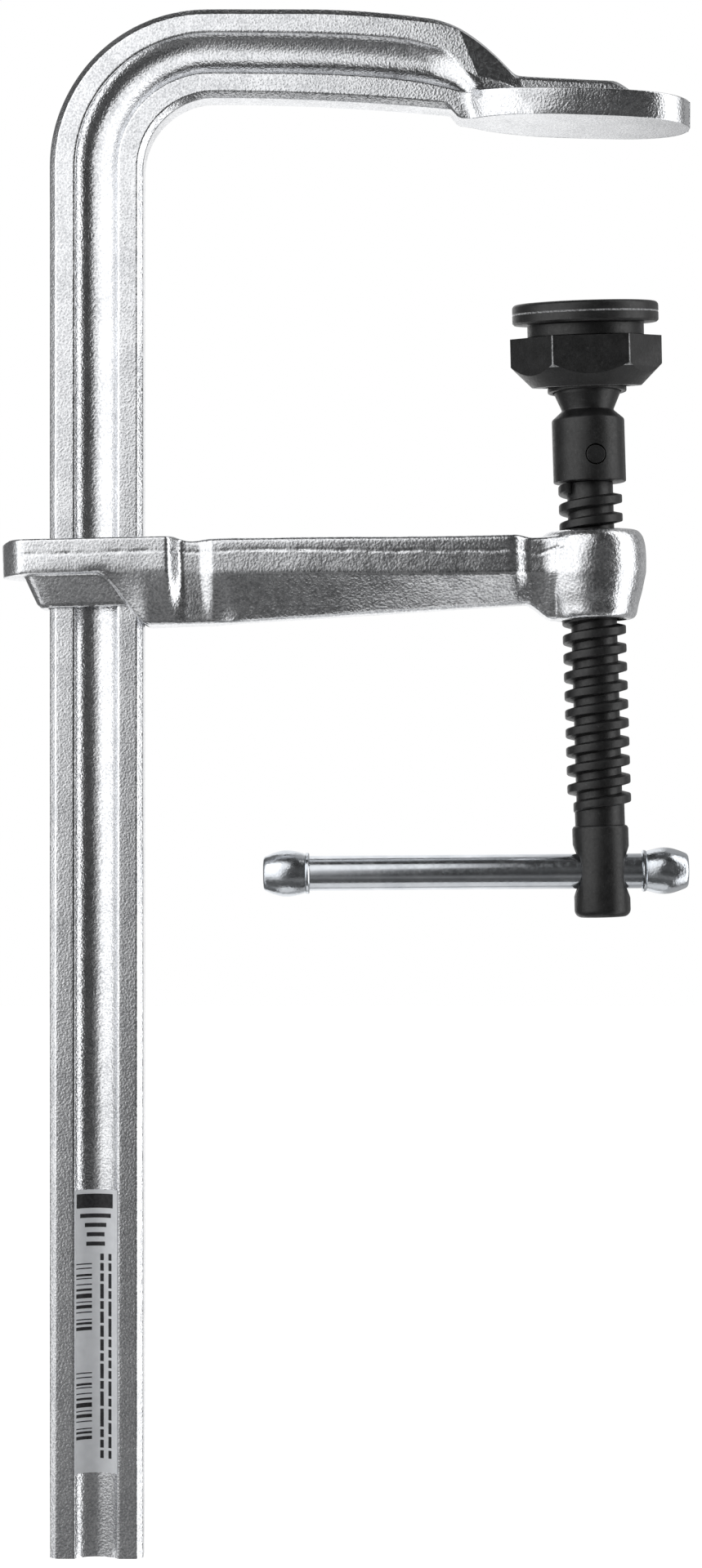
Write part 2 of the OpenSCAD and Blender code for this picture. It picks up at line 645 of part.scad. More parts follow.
// Barrel-shaped cap whose closed end is at z = 0 and whose mouth is at cap_len
module bar_cap() {
    steps = 10;
    lip = 1;
    difference() {
        rotate_extrude()
            polygon(concat([[0, 0], [cap_outer_d / 2 - 0.6, 0]],
                [for (i = [0 : steps])
                    let (t = i / steps, z = 0.6 + (cap_len - lip - 0.6) * t)
                    [blend(cap_outer_d, cap_inner_d, t) / 2
                        + (cap_d - (cap_outer_d + cap_inner_d) / 2) / 2 * sin(180 * t), z]],
                [[cap_inner_d / 2 + 0.3, cap_len - lip], [cap_inner_d / 2 + 0.3, cap_len], [0, cap_len]]));
        translate([0, 0, cap_wall]) cylinder(d = bar_d + 2 * fit_play, h = cap_len);
    }
}

module bar_cap_left() {
    color(bright_zinc) on_screw() along_bar() translate([0, 0, bar_shift - bar_len / 2]) bar_cap();
}

module bar_cap_right() {
    color(bright_zinc) on_screw() along_bar() translate([0, 0, bar_shift + bar_len / 2])
        rotate([180, 0, 0]) bar_cap();
}

rail();
size_label();
sliding_jaw();
spindle();
ball_stud();
stud_pin();
retaining_ring();
socket_nut();
pressure_plate();
tommy_bar();
bar_cap_left();
bar_cap_right();
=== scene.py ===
"""All-steel screw clamp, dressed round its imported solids.

Shapes are built in millimetres and written in metres. A section is built as one half, which is then mirrored.
"""
import json
import math

import bmesh
import bpy
import numpy as np
from mathutils import Matrix, Vector, noise


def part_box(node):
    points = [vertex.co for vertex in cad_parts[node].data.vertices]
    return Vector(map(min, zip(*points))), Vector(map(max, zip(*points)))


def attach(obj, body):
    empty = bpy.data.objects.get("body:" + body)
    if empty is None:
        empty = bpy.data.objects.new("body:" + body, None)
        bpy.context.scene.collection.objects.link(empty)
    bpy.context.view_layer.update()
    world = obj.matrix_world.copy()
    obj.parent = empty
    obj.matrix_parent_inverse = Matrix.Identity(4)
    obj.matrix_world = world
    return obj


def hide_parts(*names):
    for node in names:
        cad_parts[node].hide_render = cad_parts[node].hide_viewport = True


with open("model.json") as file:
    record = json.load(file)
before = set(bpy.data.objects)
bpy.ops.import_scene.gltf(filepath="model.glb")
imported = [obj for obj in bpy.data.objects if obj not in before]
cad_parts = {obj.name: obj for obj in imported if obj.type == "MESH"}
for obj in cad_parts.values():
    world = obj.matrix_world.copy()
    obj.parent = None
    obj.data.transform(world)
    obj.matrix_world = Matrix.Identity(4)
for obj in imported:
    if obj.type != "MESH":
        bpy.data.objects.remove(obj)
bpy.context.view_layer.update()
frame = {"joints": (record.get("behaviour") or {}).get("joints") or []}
MM = 0.001

# -------------------- places, from the frame (millimetres)
JOINTS = {joint["name"]: joint for joint in frame["joints"]}
SCREW_DIR = Vector(JOINTS["screw_turn"]["axis"]).normalized()
LEAN = math.atan2(-SCREW_DIR.x, SCREW_DIR.z)
BAR_DIR = Vector(JOINTS["bar_slide"]["axis"]).normalized()

# -------------------- driving sizes (millimetres)
RAIL_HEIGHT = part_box("rail")[1].z / MM
RAIL_W = 25.0
RAIL_T = 12.0
RAIL_BEVEL = 1.7
GROOVE_W = 11.6
GROOVE_DEPTH = 3.0
BEND_OUTER_R = 42.0
BEND_INNER_R = 19.0
ARM_H = 23.9
ARM_GROOVE_W = 11.0
ARM_GROOVE_DEPTH = 2.75
INSIDE = 0.1  # how far the foot ends inside its solid
FOOT_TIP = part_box("rail")[1].x / MM - INSIDE
FOOT_LEN = 61.0
FOOT_W = 32.4
FOOT_RIM = 7.0
FOOT_DROP = 30.5
THROAT = 120.0
JAW_Z = 261.9

# Along the screw, z is measured from the jaw's middle, where AXIS_X is counted from the rail's.
AXIS_X = (RAIL_W / 2 + THROAT) * math.cos(LEAN)
BALL_Z = 51.137
BOSS_TOP = 8.2
BOSS_H = 24.0
COLLAR_BOTTOM = BOSS_TOP + 13.0
COLLAR_TOP = COLLAR_BOTTOM + 16.8
THREAD_TOP = COLLAR_BOTTOM - 2.2
THREAD_BOTTOM = THREAD_TOP - 87.0
HEAD_TOP = THREAD_BOTTOM - 2.6
HEAD_H = 24.6
HEAD_D = 15.0
BAR_Z = HEAD_TOP - HEAD_H / 2
PITCH = 5.0
PAD_LEAN = 5.8  # degrees, to the front

# Places: the jaw, which leans a little on the rail, the screw, the pad on its ball, and the tommy bar.
LEANING = Matrix.Translation((0, 0, JAW_Z)) @ Matrix.Rotation(-LEAN, 4, "Y")
ON_SCREW = LEANING @ Matrix.Translation((AXIS_X, 0, 0))
ON_BALL = (ON_SCREW @ Matrix.Translation((0, 0, BALL_Z)) @ Matrix.Rotation(math.radians(PAD_LEAN), 4, "X")
           @ Matrix.Translation((0, 0, -BALL_Z)))
BAR_TILT = math.atan2(BAR_DIR.z, BAR_DIR.x)
ALONG_BAR = (ON_SCREW @ Matrix.Translation((0, 0, BAR_Z))
             @ Matrix.Rotation(math.pi / 2 + LEAN - BAR_TILT, 4, "Y"))


# -------------------- small maths
def smooth(a, b, x):
    """0 below a, 1 above b, eased between them."""
    t = min(1.0, max(0.0, (x - a) / (b - a)))
    return t * t * (3 - 2 * t)


def mix(p, q, k):
    return p * (1 - k) + q * k


def eased(pairs, x):
    """Eased interpolation in a list of (x, value) pairs."""
    if x <= pairs[0][0]:
        return pairs[0][1]
    for (x0, v0), (x1, v1) in zip(pairs, pairs[1:]):
        if x <= x1:
            return mix(v0, v1, smooth(x0, x1, x))
    return pairs[-1][1]


def piecewise(pairs, x):
    """Straight interpolation in a list of (x, value) pairs."""
    return float(np.interp(x, [p[0] for p in pairs], [p[1] for p in pairs]))


def spread(p, q, n):
    """n points from p towards q, without q."""
    p, q = np.array(p, float), np.array(q, float)
    return [p + (q - p) * i / n for i in range(n)]


def corner(before, at, after, radius, n=5):
    """n + 1 points that round off the corner at `at` with about that radius."""
    before, at, after = (np.array(v, float) for v in (before, at, after))
    a, b = before - at, after - at
    la, lb = np.linalg.norm(a), np.linalg.norm(b)
    cut_a, cut_b = min(radius, la * 0.45), min(radius, lb * 0.45)
    p, q = at + a / la * cut_a, at + b / lb * cut_b
    return [(1 - t) ** 2 * p + 2 * t * (1 - t) * at + t * t * q for t in (i / n for i in range(n + 1))]


# -------------------- mesh helpers
def add_object(name, mesh):
    obj = bpy.data.objects.new(name, mesh)
    bpy.context.scene.collection.objects.link(obj)
    return obj


def mesh_object(name, points, faces, place=None, soft=True):
    """A mesh object from points in millimetres."""
    mesh = bpy.data.meshes.new(name)
    place = place or Matrix.Identity(4)
    mesh.from_pydata([tuple((place @ Vector(p)) * MM) for p in points], [], faces)
    mesh.validate()
    bm = bmesh.new()
    bm.from_mesh(mesh)
    bmesh.ops.recalc_face_normals(bm, faces=bm.faces)
    bm.to_mesh(mesh)
    bm.free()
    obj = add_object(name, mesh)
    if soft:
        shade(obj)
    return obj


def shade(obj, angle=35):
    """Smooth shading with creases above the given angle."""
    mesh = obj.data
    mesh.polygons.foreach_set("use_smooth", [True] * len(mesh.polygons))
    mesh.set_sharp_from_angle(angle=math.radians(angle))


def ring_faces(rings, n, closed=True):
    """Faces between rings of n points each, with the two ends if closed."""
    faces = []
    for j in range(rings - 1):
        for i in range(n):
            k = (i + 1) % n
            faces.append((j * n + i, j * n + k, (j + 1) * n + k, (j + 1) * n + i))
    if closed:
        faces.append(tuple(range(n)))
        faces.append(tuple((rings - 1) * n + i for i in range(n)))
    return faces


def loft(name, rings, place=None):
    """A closed body through rings that have as many points each."""
    n = len(rings[0])
    return mesh_object(name, [p for ring in rings for p in ring], ring_faces(len(rings), n), place)


def lathe(name, profile, place=None, steps=128):
    """Turns [(radius, z), ...] round z. The profile starts and ends on the axis."""
    points = [(0, 0, profile[0][1])]
    for r, z in profile[1:-1]:
        points += [(r * math.cos(a), r * math.sin(a), z)
                   for a in (2 * math.pi * i / steps for i in range(steps))]
    points.append((0, 0, profile[-1][1]))
    faces = []
    rows = len(profile) - 2
    for i in range(steps):
        k = (i + 1) % steps
        faces.append((0, 1 + k, 1 + i))
        for j in range(rows - 1):
            a = 1 + j * steps
            faces.append((a + i, a + k, a + steps + k, a + steps + i))
        faces.append((len(points) - 1, 1 + (rows - 1) * steps + i, 1 + (rows - 1) * steps + k))
    return mesh_object(name, points, faces, place)


def rounded(profile, radius=0.3, n=3):
    """The profile with each inner corner rounded off."""
    out = [profile[0]]
    for before, at, after in zip(profile, profile[1:], profile[2:]):
        out += [tuple(p) for p in corner(before, at, after, radius, n)]
    return out + [profile[-1]]


def carve(obj, cutter, operation="DIFFERENCE"):
    """Applies a boolean with the cutter and removes the cutter."""
    modifier = obj.modifiers.new("carve", "BOOLEAN")
    modifier.operation = operation
    modifier.solver = "EXACT"
    modifier.object = cutter
    apply_modifiers(obj)
    bpy.data.objects.remove(cutter)


def bevel_edges(obj, width_mm, above_degrees):
    bevel = obj.modifiers.new("edge", "BEVEL")
    bevel.width = width_mm * MM
    bevel.segments = 2
    bevel.limit_method = "ANGLE"
    bevel.angle_limit = math.radians(above_degrees)
    apply_modifiers(obj)


def apply_modifiers(obj):
    graph = bpy.context.evaluated_depsgraph_get()
    mesh = bpy.data.meshes.new_from_object(obj.evaluated_get(graph))
    old = obj.data
    obj.modifiers.clear()
    obj.data = mesh
    bpy.data.meshes.remove(old)


NOISE_TOP = 0.7  # about the most that noise.noise gives


def roughen(obj, layers):
    """Sinks vertices along their normals by layers of smooth noise: (size in mm, height in mm)."""
    mesh = obj.data
    normals = [v.normal.copy() for v in mesh.vertices]
    for vertex, normal in zip(mesh.vertices, normals):
        place = vertex.co / MM
        lift = sum((noise.noise(place / size) - NOISE_TOP) * height for size, height in layers)
        vertex.co += normal * lift * MM
    mesh.update()


def join(name, objects):
    """One object from several, in the first one's place."""
    bm = bmesh.new()
    for obj in objects:
        bm.from_mesh(obj.data)
    mesh = bpy.data.meshes.new(name)
    bm.to_mesh(mesh)
    bm.free()
    for obj in objects:
        bpy.data.objects.remove(obj)
    obj = add_object(name, mesh)
    shade(obj)
    return obj


def dress(obj, material, body, slot, *nodes):
    """Gives the piece its material and its body, and hides the solids that it replaces. The slot argument is
    not used.
    """
    obj.data.materials.clear()
    obj.data.materials.append(material)
    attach(obj, body)
    if nodes:
        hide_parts(*nodes)


# -------------------- materials
class Graph:
    """Short way to write a node tree."""

    def __init__(self, tree):
        self.tree = tree

    def add(self, kind, **values):
        node = self.tree.nodes.new(kind)
        for key, value in values.items():
            setattr(node, key, value)
        return node

    def plug(self, value, socket):
        """Links an output to the socket, or sets the socket to a constant."""
        if isinstance(value, (int, float, tuple)):
            socket.default_value = value
        else:
            self.tree.links.new(value, socket)

    def math(self, operation, a, b=0.0):
        node = self.add("ShaderNodeMath", operation=operation)
        self.plug(a, node.inputs[0])
        self.plug(b, node.inputs[1])
        return node.outputs["Value"]

    def ramp(self, value, from_low, from_high, to_low, to_high, shape="SMOOTHSTEP"):
        """Step from to_low at from_low to to_high at from_high, eased unless the shape is another."""
        node = self.add("ShaderNodeMapRange", interpolation_type=shape)
        limits = (("From Min", from_low), ("From Max", from_high), ("To Min", to_low), ("To Max", to_high))
        for name, number in limits:
            self.plug(number, node.inputs[name])
        self.plug(value, node.inputs["Value"])
        return node.outputs["Result"]

    def levels(self, value, stops):
        """Straight interpolation in a list of (value, result) pairs."""
        total = stops[0][1]
        for (x0, y0), (x1, y1) in zip(stops, stops[1:]):
            total = self.math("ADD", total, self.ramp(value, x0, x1, 0.0, y1 - y0, "LINEAR"))
        return total

    def mix(self, a, b, k):
        node = self.add("ShaderNodeMix")
        self.plug(k, node.inputs[0])
        self.plug(a, node.inputs[2])
        self.plug(b, node.inputs[3])
        return node.outputs[0]


class Finish(Graph):
    """A material on a Principled BSDF."""

    def __init__(self, name):
        self.material = bpy.data.materials.new(name)
        self.material.use_nodes = True
        super().__init__(self.material.node_tree)
        self.shader = self.tree.nodes["Principled BSDF"]
        self.place = self.add("ShaderNodeTexCoord").outputs["Object"]

    def noise(self, size_mm, detail=2.0, roughness=0.5, stretch=None):
        """Noise whose features are about size_mm across. stretch scales the axes."""
        node = self.add("ShaderNodeTexNoise")
        node.inputs["Scale"].default_value = 1 / (size_mm * MM)
        node.inputs["Detail"].default_value = detail
        node.inputs["Roughness"].default_value = roughness
        source = self.place
        if stretch:
            mapping = self.add("ShaderNodeMapping")
            mapping.inputs["Scale"].default_value = stretch
            self.plug(source, mapping.inputs["Vector"])
            source = mapping.outputs["Vector"]
        self.plug(source, node.inputs["Vector"])
        return node.outputs["Fac"]

    def colours(self, value, stops):
        node = self.add("ShaderNodeValToRGB")
        ramp = node.color_ramp
        while len(ramp.elements) < len(stops):
            ramp.elements.new(0.5)
        for element, (at, colour) in zip(ramp.elements, stops):
            element.position = at
            element.color = (*colour, 1)
        self.plug(value, node.inputs["Fac"])
        return node.outputs["Color"]

    def bump(self, height, distance_mm, after=None):
        node = self.add("ShaderNodeBump")
        node.inputs["Distance"].default_value = distance_mm * MM
        node.inputs["Strength"].default_value = 1.0
        self.plug(height, node.inputs["Height"])
        if after:
            self.plug(after, node.inputs["Normal"])
        return node.outputs["Normal"]

    def wear(self):
        """The mesh's own wear value: 1 on worn edges."""
        return self.add("ShaderNodeAttribute", attribute_name="wear").outputs["Fac"]

    def show_to_camera(self, surface, shown):
        """Uses the surface for camera rays alone, or for all the others alone. The rest pass through."""
        split = self.add("ShaderNodeMixShader")
        through = self.add("ShaderNodeBsdfTransparent").outputs[0]
        self.plug(self.add("ShaderNodeLightPath").outputs["Is Camera Ray"], split.inputs[0])
        self.plug(through if shown else surface, split.inputs[1])
        self.plug(surface if shown else through, split.inputs[2])
        self.plug(split.outputs[0], self.tree.nodes["Material Output"].inputs["Surface"])

    def finish(self, normal=None, **values):
        for key, value in values.items():
            self.plug(value, self.shader.inputs[key.replace("_", " ")])
        if normal:
            self.plug(normal, self.shader.inputs["Normal"])
        return self.material


def forged_zinc(name, dark, light, grain_mm, grain_height, roughness):
    """Zinc plate over a blasted forging: sandy grain that sparkles, and cloudy patches.

    dark and light are the colours of the grain's pits and tips.
    """
    n = Finish(name)
    grain = n.noise(grain_mm, detail=1)
    clouds = n.noise(9, detail=2)
    tone = n.math("ADD", n.math("MULTIPLY", grain, 0.7), n.math("MULTIPLY", clouds, 0.3))
    base = n.colours(tone, [(0.36, dark), (0.60, light)])
    rough = n.ramp(n.noise(grain_mm * 2.2, detail=2), 0.3, 0.7, roughness * 0.8, roughness * 1.25)
    return n.finish(n.bump(grain, grain_height), Base_Color=base, Roughness=rough, Metallic=1.0)


def black_oxide(name, turned=0.0):
    """Oiled black oxide on steel, lighter and glossier where the edges are worn."""
    n = Finish(name)
    blotch = n.noise(3.5, detail=3)
    fresh = n.ramp(blotch, 0.3, 0.75, 0.010, 0.022)
    scuffs = n.ramp(n.noise(0.9, detail=4, roughness=0.7), 0.58, 0.78, 0.0, 0.05)
    patchy = n.ramp(n.noise(0.7, detail=3, roughness=0.6), 0.35, 0.6, 0.12, 0.5)
    rubbed = n.math("MULTIPLY", n.wear(), patchy)
    level = n.math("ADD", n.math("ADD", fresh, scuffs), rubbed)
    base = n.colours(level, [(0.0, (0.0, 0.0, 0.0)), (1.0, (0.97, 0.98, 1.0))])
    rough = n.ramp(n.noise(0.8, detail=3), 0.3, 0.7, 0.32, 0.46)
    normal = n.bump(n.noise(0.5, detail=2), 0.03)
    if turned:
        normal = n.bump(n.noise(0.3, detail=2, stretch=(0.03, 0.03, 1)), turned, normal)
    return n.finish(normal, Base_Color=base, Roughness=rough, Metallic=0.0, Specular_IOR_Level=0.55)


def bright_zinc(name, grain_mm, grain_height):
    """Smooth bright zinc on drawn or pressed steel."""
    n = Finish(name)
    base = n.colours(n.noise(6, detail=2), [(0.3, (0.66, 0.69, 0.73)), (0.7, (0.80, 0.83, 0.87))])
    rough = n.ramp(n.noise(1.2, detail=3), 0.3, 0.7, 0.13, 0.24)
    grain = n.bump(n.noise(grain_mm, detail=2), grain_height)
    return n.finish(grain, Base_Color=base, Roughness=rough, Metallic=1.0)


def paper(name):
    n = Finish(name)
    base = n.colours(n.noise(2, detail=3), [(0.3, (0.86, 0.88, 0.91)), (0.7, (0.93, 0.95, 0.98))])
    return n.finish(n.bump(n.noise(0.4, detail=3), 0.02), Base_Color=base, Roughness=0.5)


def ink(name):
    n = Finish(name)
    base = n.colours(n.noise(0.8, detail=3), [(0.35, (0.012, 0.012, 0.014)), (0.75, (0.04, 0.04, 0.045))])
    return n.finish(Base_Color=base, Roughness=0.6)


RAIL_ZINC = forged_zinc("rail_zinc", (0.60, 0.61, 0.63), (0.93, 0.94, 0.96),
                        grain_mm=0.55, grain_height=0.09, roughness=0.2)
JAW_ZINC = forged_zinc("jaw_zinc", (0.62, 0.63, 0.65), (0.95, 0.96, 0.98),
                       grain_mm=0.66, grain_height=0.08, roughness=0.22)
SCREW_BLACK = black_oxide("screw_black")
STUD_BLACK = black_oxide("stud_black", turned=0.03)
PIN_BLACK = black_oxide("pin_black")
RING_BLACK = black_oxide("ring_black")
NUT_BLACK = black_oxide("nut_black")
PLATE_BLACK = black_oxide("plate_black", turned=0.03)
BAR_ZINC = bright_zinc("bar_zinc", grain_mm=0.5, grain_height=0.006)
CAP_ZINC = bright_zinc("cap_zinc", grain_mm=0.6, grain_height=0.05)
LABEL_PAPER = paper("label_paper")
LABEL_INK = ink("label_ink")

# -------------------- rail and fixed jaw
OUTER_C = np.array((-RAIL_W / 2 + BEND_OUTER_R, RAIL_HEIGHT - BEND_OUTER_R))
INNER_C = np.array((RAIL_W / 2 + BEND_INNER_R, RAIL_HEIGHT - ARM_H - BEND_INNER_R))
FOOT_START = FOOT_TIP - FOOT_LEN
FOOT_MID = FOOT_TIP - FOOT_LEN / 2
FOOT_SLOPE = math.tan(math.radians(1.8))
BACK_BEND = FOOT_START - 43.5
NECK_FALL = FOOT_START - 9.5
CREASE_X = FOOT_START + 2.5
RIDGE_END = FOOT_TIP - 16
RIDGE_H = 5.3
RIDGE_HALF = 3.7
RIDGE_SLOPE = 0.014
RAIL_DRAFT = 0.03
ARM_UNDER_CURVE = 0.00078
BACK_CURVE = 0.0020
NECK_CURVE = 0.0195
NECK_SLANT = 0.4
SLANT_DROP = 14.0
RIM_TOP_DROP, RIM_MID_DROP = 23.5, 26.5

# The groove's edges in the neck, as (mm past the crease, drop below the rail's top).
GROOVE_HIGH = [(-20, 8.15), (-16, 8.5), (-12, 9.3), (-8, 10.4), (-4, 12.0), (-2, 13.8), (0, 17.4)]
GROOVE_LOW = [(-20, 19.15), (-16, 19.6), (-12, 20.6), (-8, 21.9), (-4, 23.1), (-2, 23.6), (0, 23.8)]

# How the neck's section turns into the foot's: (points in the run, mm past the crease where it starts, and
# where it ends). The runs are the underside, its edge, the rim and all the rest.
NECK_RUNS = [(15, -11.5, -7), (5, -10, -3), (6, -6, -0.5), (53, -7, -0.2)]


def groove_points(low, high, depth, face):
    """The groove's arc between two heights, as (half-thickness, height)."""
    half, mid = (high - low) / 2, (high + low) / 2
    r = (half ** 2 + depth ** 2) / (2 * depth)
    out = []
    for u in np.linspace(-half + 0.35, half - 0.35, 21):
        sunk = math.sqrt(max(0.0, r * r - u * u)) - (r - depth)
        out.append(np.array((face - max(0.0, sunk), mid + u)))
    return out


def rail_half(h, g0, g1, depth, face=RAIL_T / 2):
    """Half of the rail's section, h high, as (half-thickness, height from the inner edge).

    Its groove goes from g0 to g1.
    """
    b, draft = RAIL_BEVEL, RAIL_DRAFT
    arc = groove_points(g0, g1, depth, face)
    out = spread((0.6, 0), (face - b - 0.6, 0), 3)
    out += corner((0, 0), (face - b, 0), (face - draft, b), 0.35)
    out += corner((face - b, 0), (face - draft, b), (face, g0), 0.3)
    out += spread((face - draft * 0.9, b + 0.5), (face, g0 - 0.7), 5)
    out += corner((face - draft, b), (face, g0), arc[2], 0.55, 6)[:-1]
    out += arc
    out += corner(arc[-3], (face, g1), (face - draft, h - b), 0.55, 6)[1:]
    out += spread((face, g1 + 0.7), (face - draft * 0.9, h - b - 0.5), 5)
    out += corner((face, g1), (face - draft, h - b), (face - b, h), 0.3)
    out += corner((face - draft, h - b), (face - b, h), (0, h), 0.35)
    out += spread((face - b - 0.6, h), (0.6, h), 8)
    out.append(np.array((0.6, h)))
    return out


def whole(half):
    """The half-section and its mirror image."""
    return list(half) + [np.array((-p[0], p[1])) for p in reversed(half)]


def rail_ring(p, q, on_arm=0.0):
    """Ring of the rail between a point on its inner edge and one on its outer edge, as (x, z)."""
    p, q = np.array(p, float), np.array(q, float)
    h = np.linalg.norm(q - p)
    d = (q - p) / h
    w = mix(GROOVE_W, ARM_GROOVE_W, on_arm)
    half = rail_half(h, h / 2 - w / 2, h / 2 + w / 2, mix(GROOVE_DEPTH, ARM_GROOVE_DEPTH, on_arm))
    return [(p[0] + d[0] * s, y, p[1] + d[1] * s) for y, s in whole(half)]


def soft_max(a, b, k):
    """The larger of a and b, rounded off over about k where they cross."""
    return (a + b + math.sqrt((a - b) ** 2 + k * k)) / 2


def rim_drop(x):
    """How far the rim's upper side lies below the rail's top. The other drops are counted in the same way."""
    return FOOT_DROP - FOOT_RIM + (x - FOOT_MID) * FOOT_SLOPE


def low_drop(x):
    """The underside of the arm and the foot."""
    arm = ARM_H + ARM_UNDER_CURVE * max(0.0, x - INNER_C[0]) ** 2
    return mix(arm, rim_drop(x) + FOOT_RIM, smooth(FOOT_START - 2.9, FOOT_START - 0.5, x))


def top_drop(x):
    """The arm's back, which bends down to the ridge, and the ridge's end."""
    back = BACK_CURVE * max(0.0, x - BACK_BEND) ** 2 + NECK_CURVE * max(0.0, x - NECK_FALL) ** 2
    ridge = rim_drop(x) - RIDGE_H + (x - FOOT_MID) * RIDGE_SLOPE
    ridge = mix(ridge, rim_drop(x) - 0.4, smooth(RIDGE_END - 5.1, RIDGE_END + 4.9, x))
    return -soft_max(-back, -ridge, 1.2)


def foot_half(x):
    """Half of the foot's width. The neck's end is rounder than the tip's."""
    u = min(1.0, abs(x - FOOT_MID) / (FOOT_LEN / 2))
    return FOOT_W / 2 * math.sqrt(max(0.0, 1 - u ** (2.3 if x < FOOT_MID else 3.4)))


def slant(t):
    """The neck's rings lean, so that one of them lies along the crease where the arm's face ends."""
    return NECK_SLANT * smooth(CREASE_X - 20, CREASE_X - 8, t) * (1 - smooth(CREASE_X + 6, CREASE_X + 18, t))


def at_drop(t, drop):
    """Where ring t is at that drop, as x."""
    return t + slant(t) * (drop - SLANT_DROP)


def drop_on(t, line):
    """The drop at which ring t meets a line of the outline."""
    x = t
    for _ in range(30):
        x = mix(x, at_drop(t, line(x)), 0.7)
    return line(x)


def foot_keys(b, face, rim, h):
    """Half-section of the foot with as many points as rail_half, run for run.

    b is the rim's half-width and face the ridge's, and rim and h are their heights above the underside.
    """
    up = h - rim
    base = face + min(1.5, (b - face) * 0.4)
    inset = 0.95 * b / (FOOT_W / 2)
    out = spread((0.6, 0), (b - inset - 1.5, 0), 3)
    out += spread((b - inset - 0.9, 0), (b - inset - 0.3, 0), 3)
    out += [np.array((b - inset - 0.2 * k, 0.02 * (1 - k))) for k in (1, 0.6, 0.2)]
    out += corner((b - inset - 0.3, 0), (b - inset, 0.05), (b - inset * 0.8, 2), 0.25)
    out += spread((b - inset * 0.9, 0.5), (b - inset * 0.12, rim - 1.2), 5)
    out += corner((b - inset * 0.3, rim - 3), (b, rim), (b - 3, rim + 0.1), 0.6, 5)
    out += spread((b - 0.9, rim + 0.05), (base + 0.5, rim + up * 0.03), 11)
    out += spread((base + 0.5, rim + up * 0.03), (base, rim + up * 0.08), 4)
    out += spread((base, rim + up * 0.08), (face + 0.15, rim + up * 0.25), 5)
    out.append(np.array((face + 0.15, rim + up * 0.25)))
    out += spread((face + 0.12, rim + up * 0.28), (face + 0.03, rim + up * 0.45), 6)
    out += spread((face + 0.02, rim + up * 0.47), (face - 0.08, rim + up * 0.8), 5)
    c = min(1.1, up * 0.3)
    out += corner((face - 0.05, rim + up * 0.7), (face - 0.12, h - c), (face - c, h - 0.12), 0.3)
    out += corner((face - 0.12, h - c), (face - c, h - 0.12), (0, h), 0.3)
    out += spread((face - c - 0.5, h), (0.6, h), 8)
    out.append(np.array((0.6, h)))
    return out


def foot_ring(t):
    """Ring across the neck and the foot. Run by run, its points turn from the arm's shape to the foot's."""
    top, low = drop_on(t, top_drop), drop_on(t, low_drop)
    past = t - CREASE_X
    face = RAIL_T / 2 - min(RAIL_T / 2 - RIDGE_HALF, max(0.0, past) * 0.2)
    width = foot_half(at_drop(t, RIM_MID_DROP))
    b = soft_max(RAIL_T / 2, width, 1.2) if t < FOOT_MID else max(width, 2.4)
    face = min(face, b * 0.42) if t > FOOT_MID else face
    upper, lower = piecewise(GROOVE_HIGH, past), piecewise(GROOVE_LOW, past)
    depth = ARM_GROOVE_DEPTH * mix(1, 0.3, smooth(-12, 0, past))
    arm = rail_half(low - top, low - lower, low - upper, depth, face)
    foot = foot_keys(b, face, low - rim_drop(at_drop(t, RIM_TOP_DROP)), low - top)
    half, at = [], 0
    for count, start, end in NECK_RUNS:
        k = smooth(start, end, past)
        half += [arm[i] * (1 - k) + foot[i] * k for i in range(at, at + count)]
        at += count
    return [(at_drop(t, low - s), y, RAIL_HEIGHT - low + s) for y, s in whole(half)]


def build_rail():
    """The straight rail, the bend, the arm, the neck with its crease, and the foot."""
    up_the_rail = [0, 0.4, 1, 2] + list(np.linspace(4, INNER_C[1] * 0.985, 120))
    rings = [rail_ring((RAIL_W / 2, z), (-RAIL_W / 2, z)) for z in up_the_rail]
    for a in np.linspace(0, math.pi / 2, 60):
        d = np.array((-math.cos(a), math.sin(a)))
        rings.append(rail_ring(INNER_C + BEND_INNER_R * d, OUTER_C + BEND_OUTER_R * d, a / (math.pi / 2)))
    rings += [rail_ring((x, RAIL_HEIGHT - low_drop(x)), (x, RAIL_HEIGHT - top_drop(x)), 1.0)
              for x in np.linspace(INNER_C[0] + 1, CREASE_X - 20.5, 24)]
    past_crease = list(np.arange(-20, -0.3, 0.7)) + [-0.15, 0, 0.15, 0.5] + list(np.arange(1, 20, 0.6))
    rings += [foot_ring(CREASE_X + t) for t in past_crease]
    rings += [foot_ring(FOOT_MID + FOOT_LEN / 2 * math.sin(math.radians(a))) for a in np.arange(-15, 88, 2)]
    rings.append(foot_ring(FOOT_TIP - 0.001))
    rail = loft("rail_forging", rings)
    roughen(rail, [(30, 0.05), (6, 0.008)])
    shade(rail, 40)
    dress(rail, RAIL_ZINC, "rail", "rail_zinc", "rail")


build_rail()

# -------------------- sliding jaw
# Heights are measured from the middle of the jaw's place on the rail, and thicknesses are half-thicknesses.
SLOT_X = RAIL_W / 2 + 0.6
SLOT_Y = RAIL_T / 2 + 0.4
LOOP_Y = SLOT_Y + 7.6
LOOP_LEFT = -SLOT_X - 12.15
LOOP_RIGHT = SLOT_X + 7
LOOP_TOP = 9.65
NOSE_R = 20.5
SKIRT_DEPTH = 8.6
ARM_DEPTH = 14.0
ARM_T = 11.5
WAIST_T = 10.0
WAIST2_T = 9.6
KEEL_T = 7.2
EDGE_T = 4.0
WAIST_X = LOOP_RIGHT + 5.4
ARM_START = LOOP_RIGHT + 11
ARM_END = AXIS_X - 21
WAIST2_X = AXIS_X - 16
RIM_BOTTOM = -0.85
PARTING = 6.0
PARTING_W = 0.34
PARTING_DEPTH = 0.3
BOSS_BOTTOM = BOSS_TOP - BOSS_H
BORE_R = 8.75
VOXEL = 0.34
PAST_JAW = 30.0  # cutters reach this far above and below


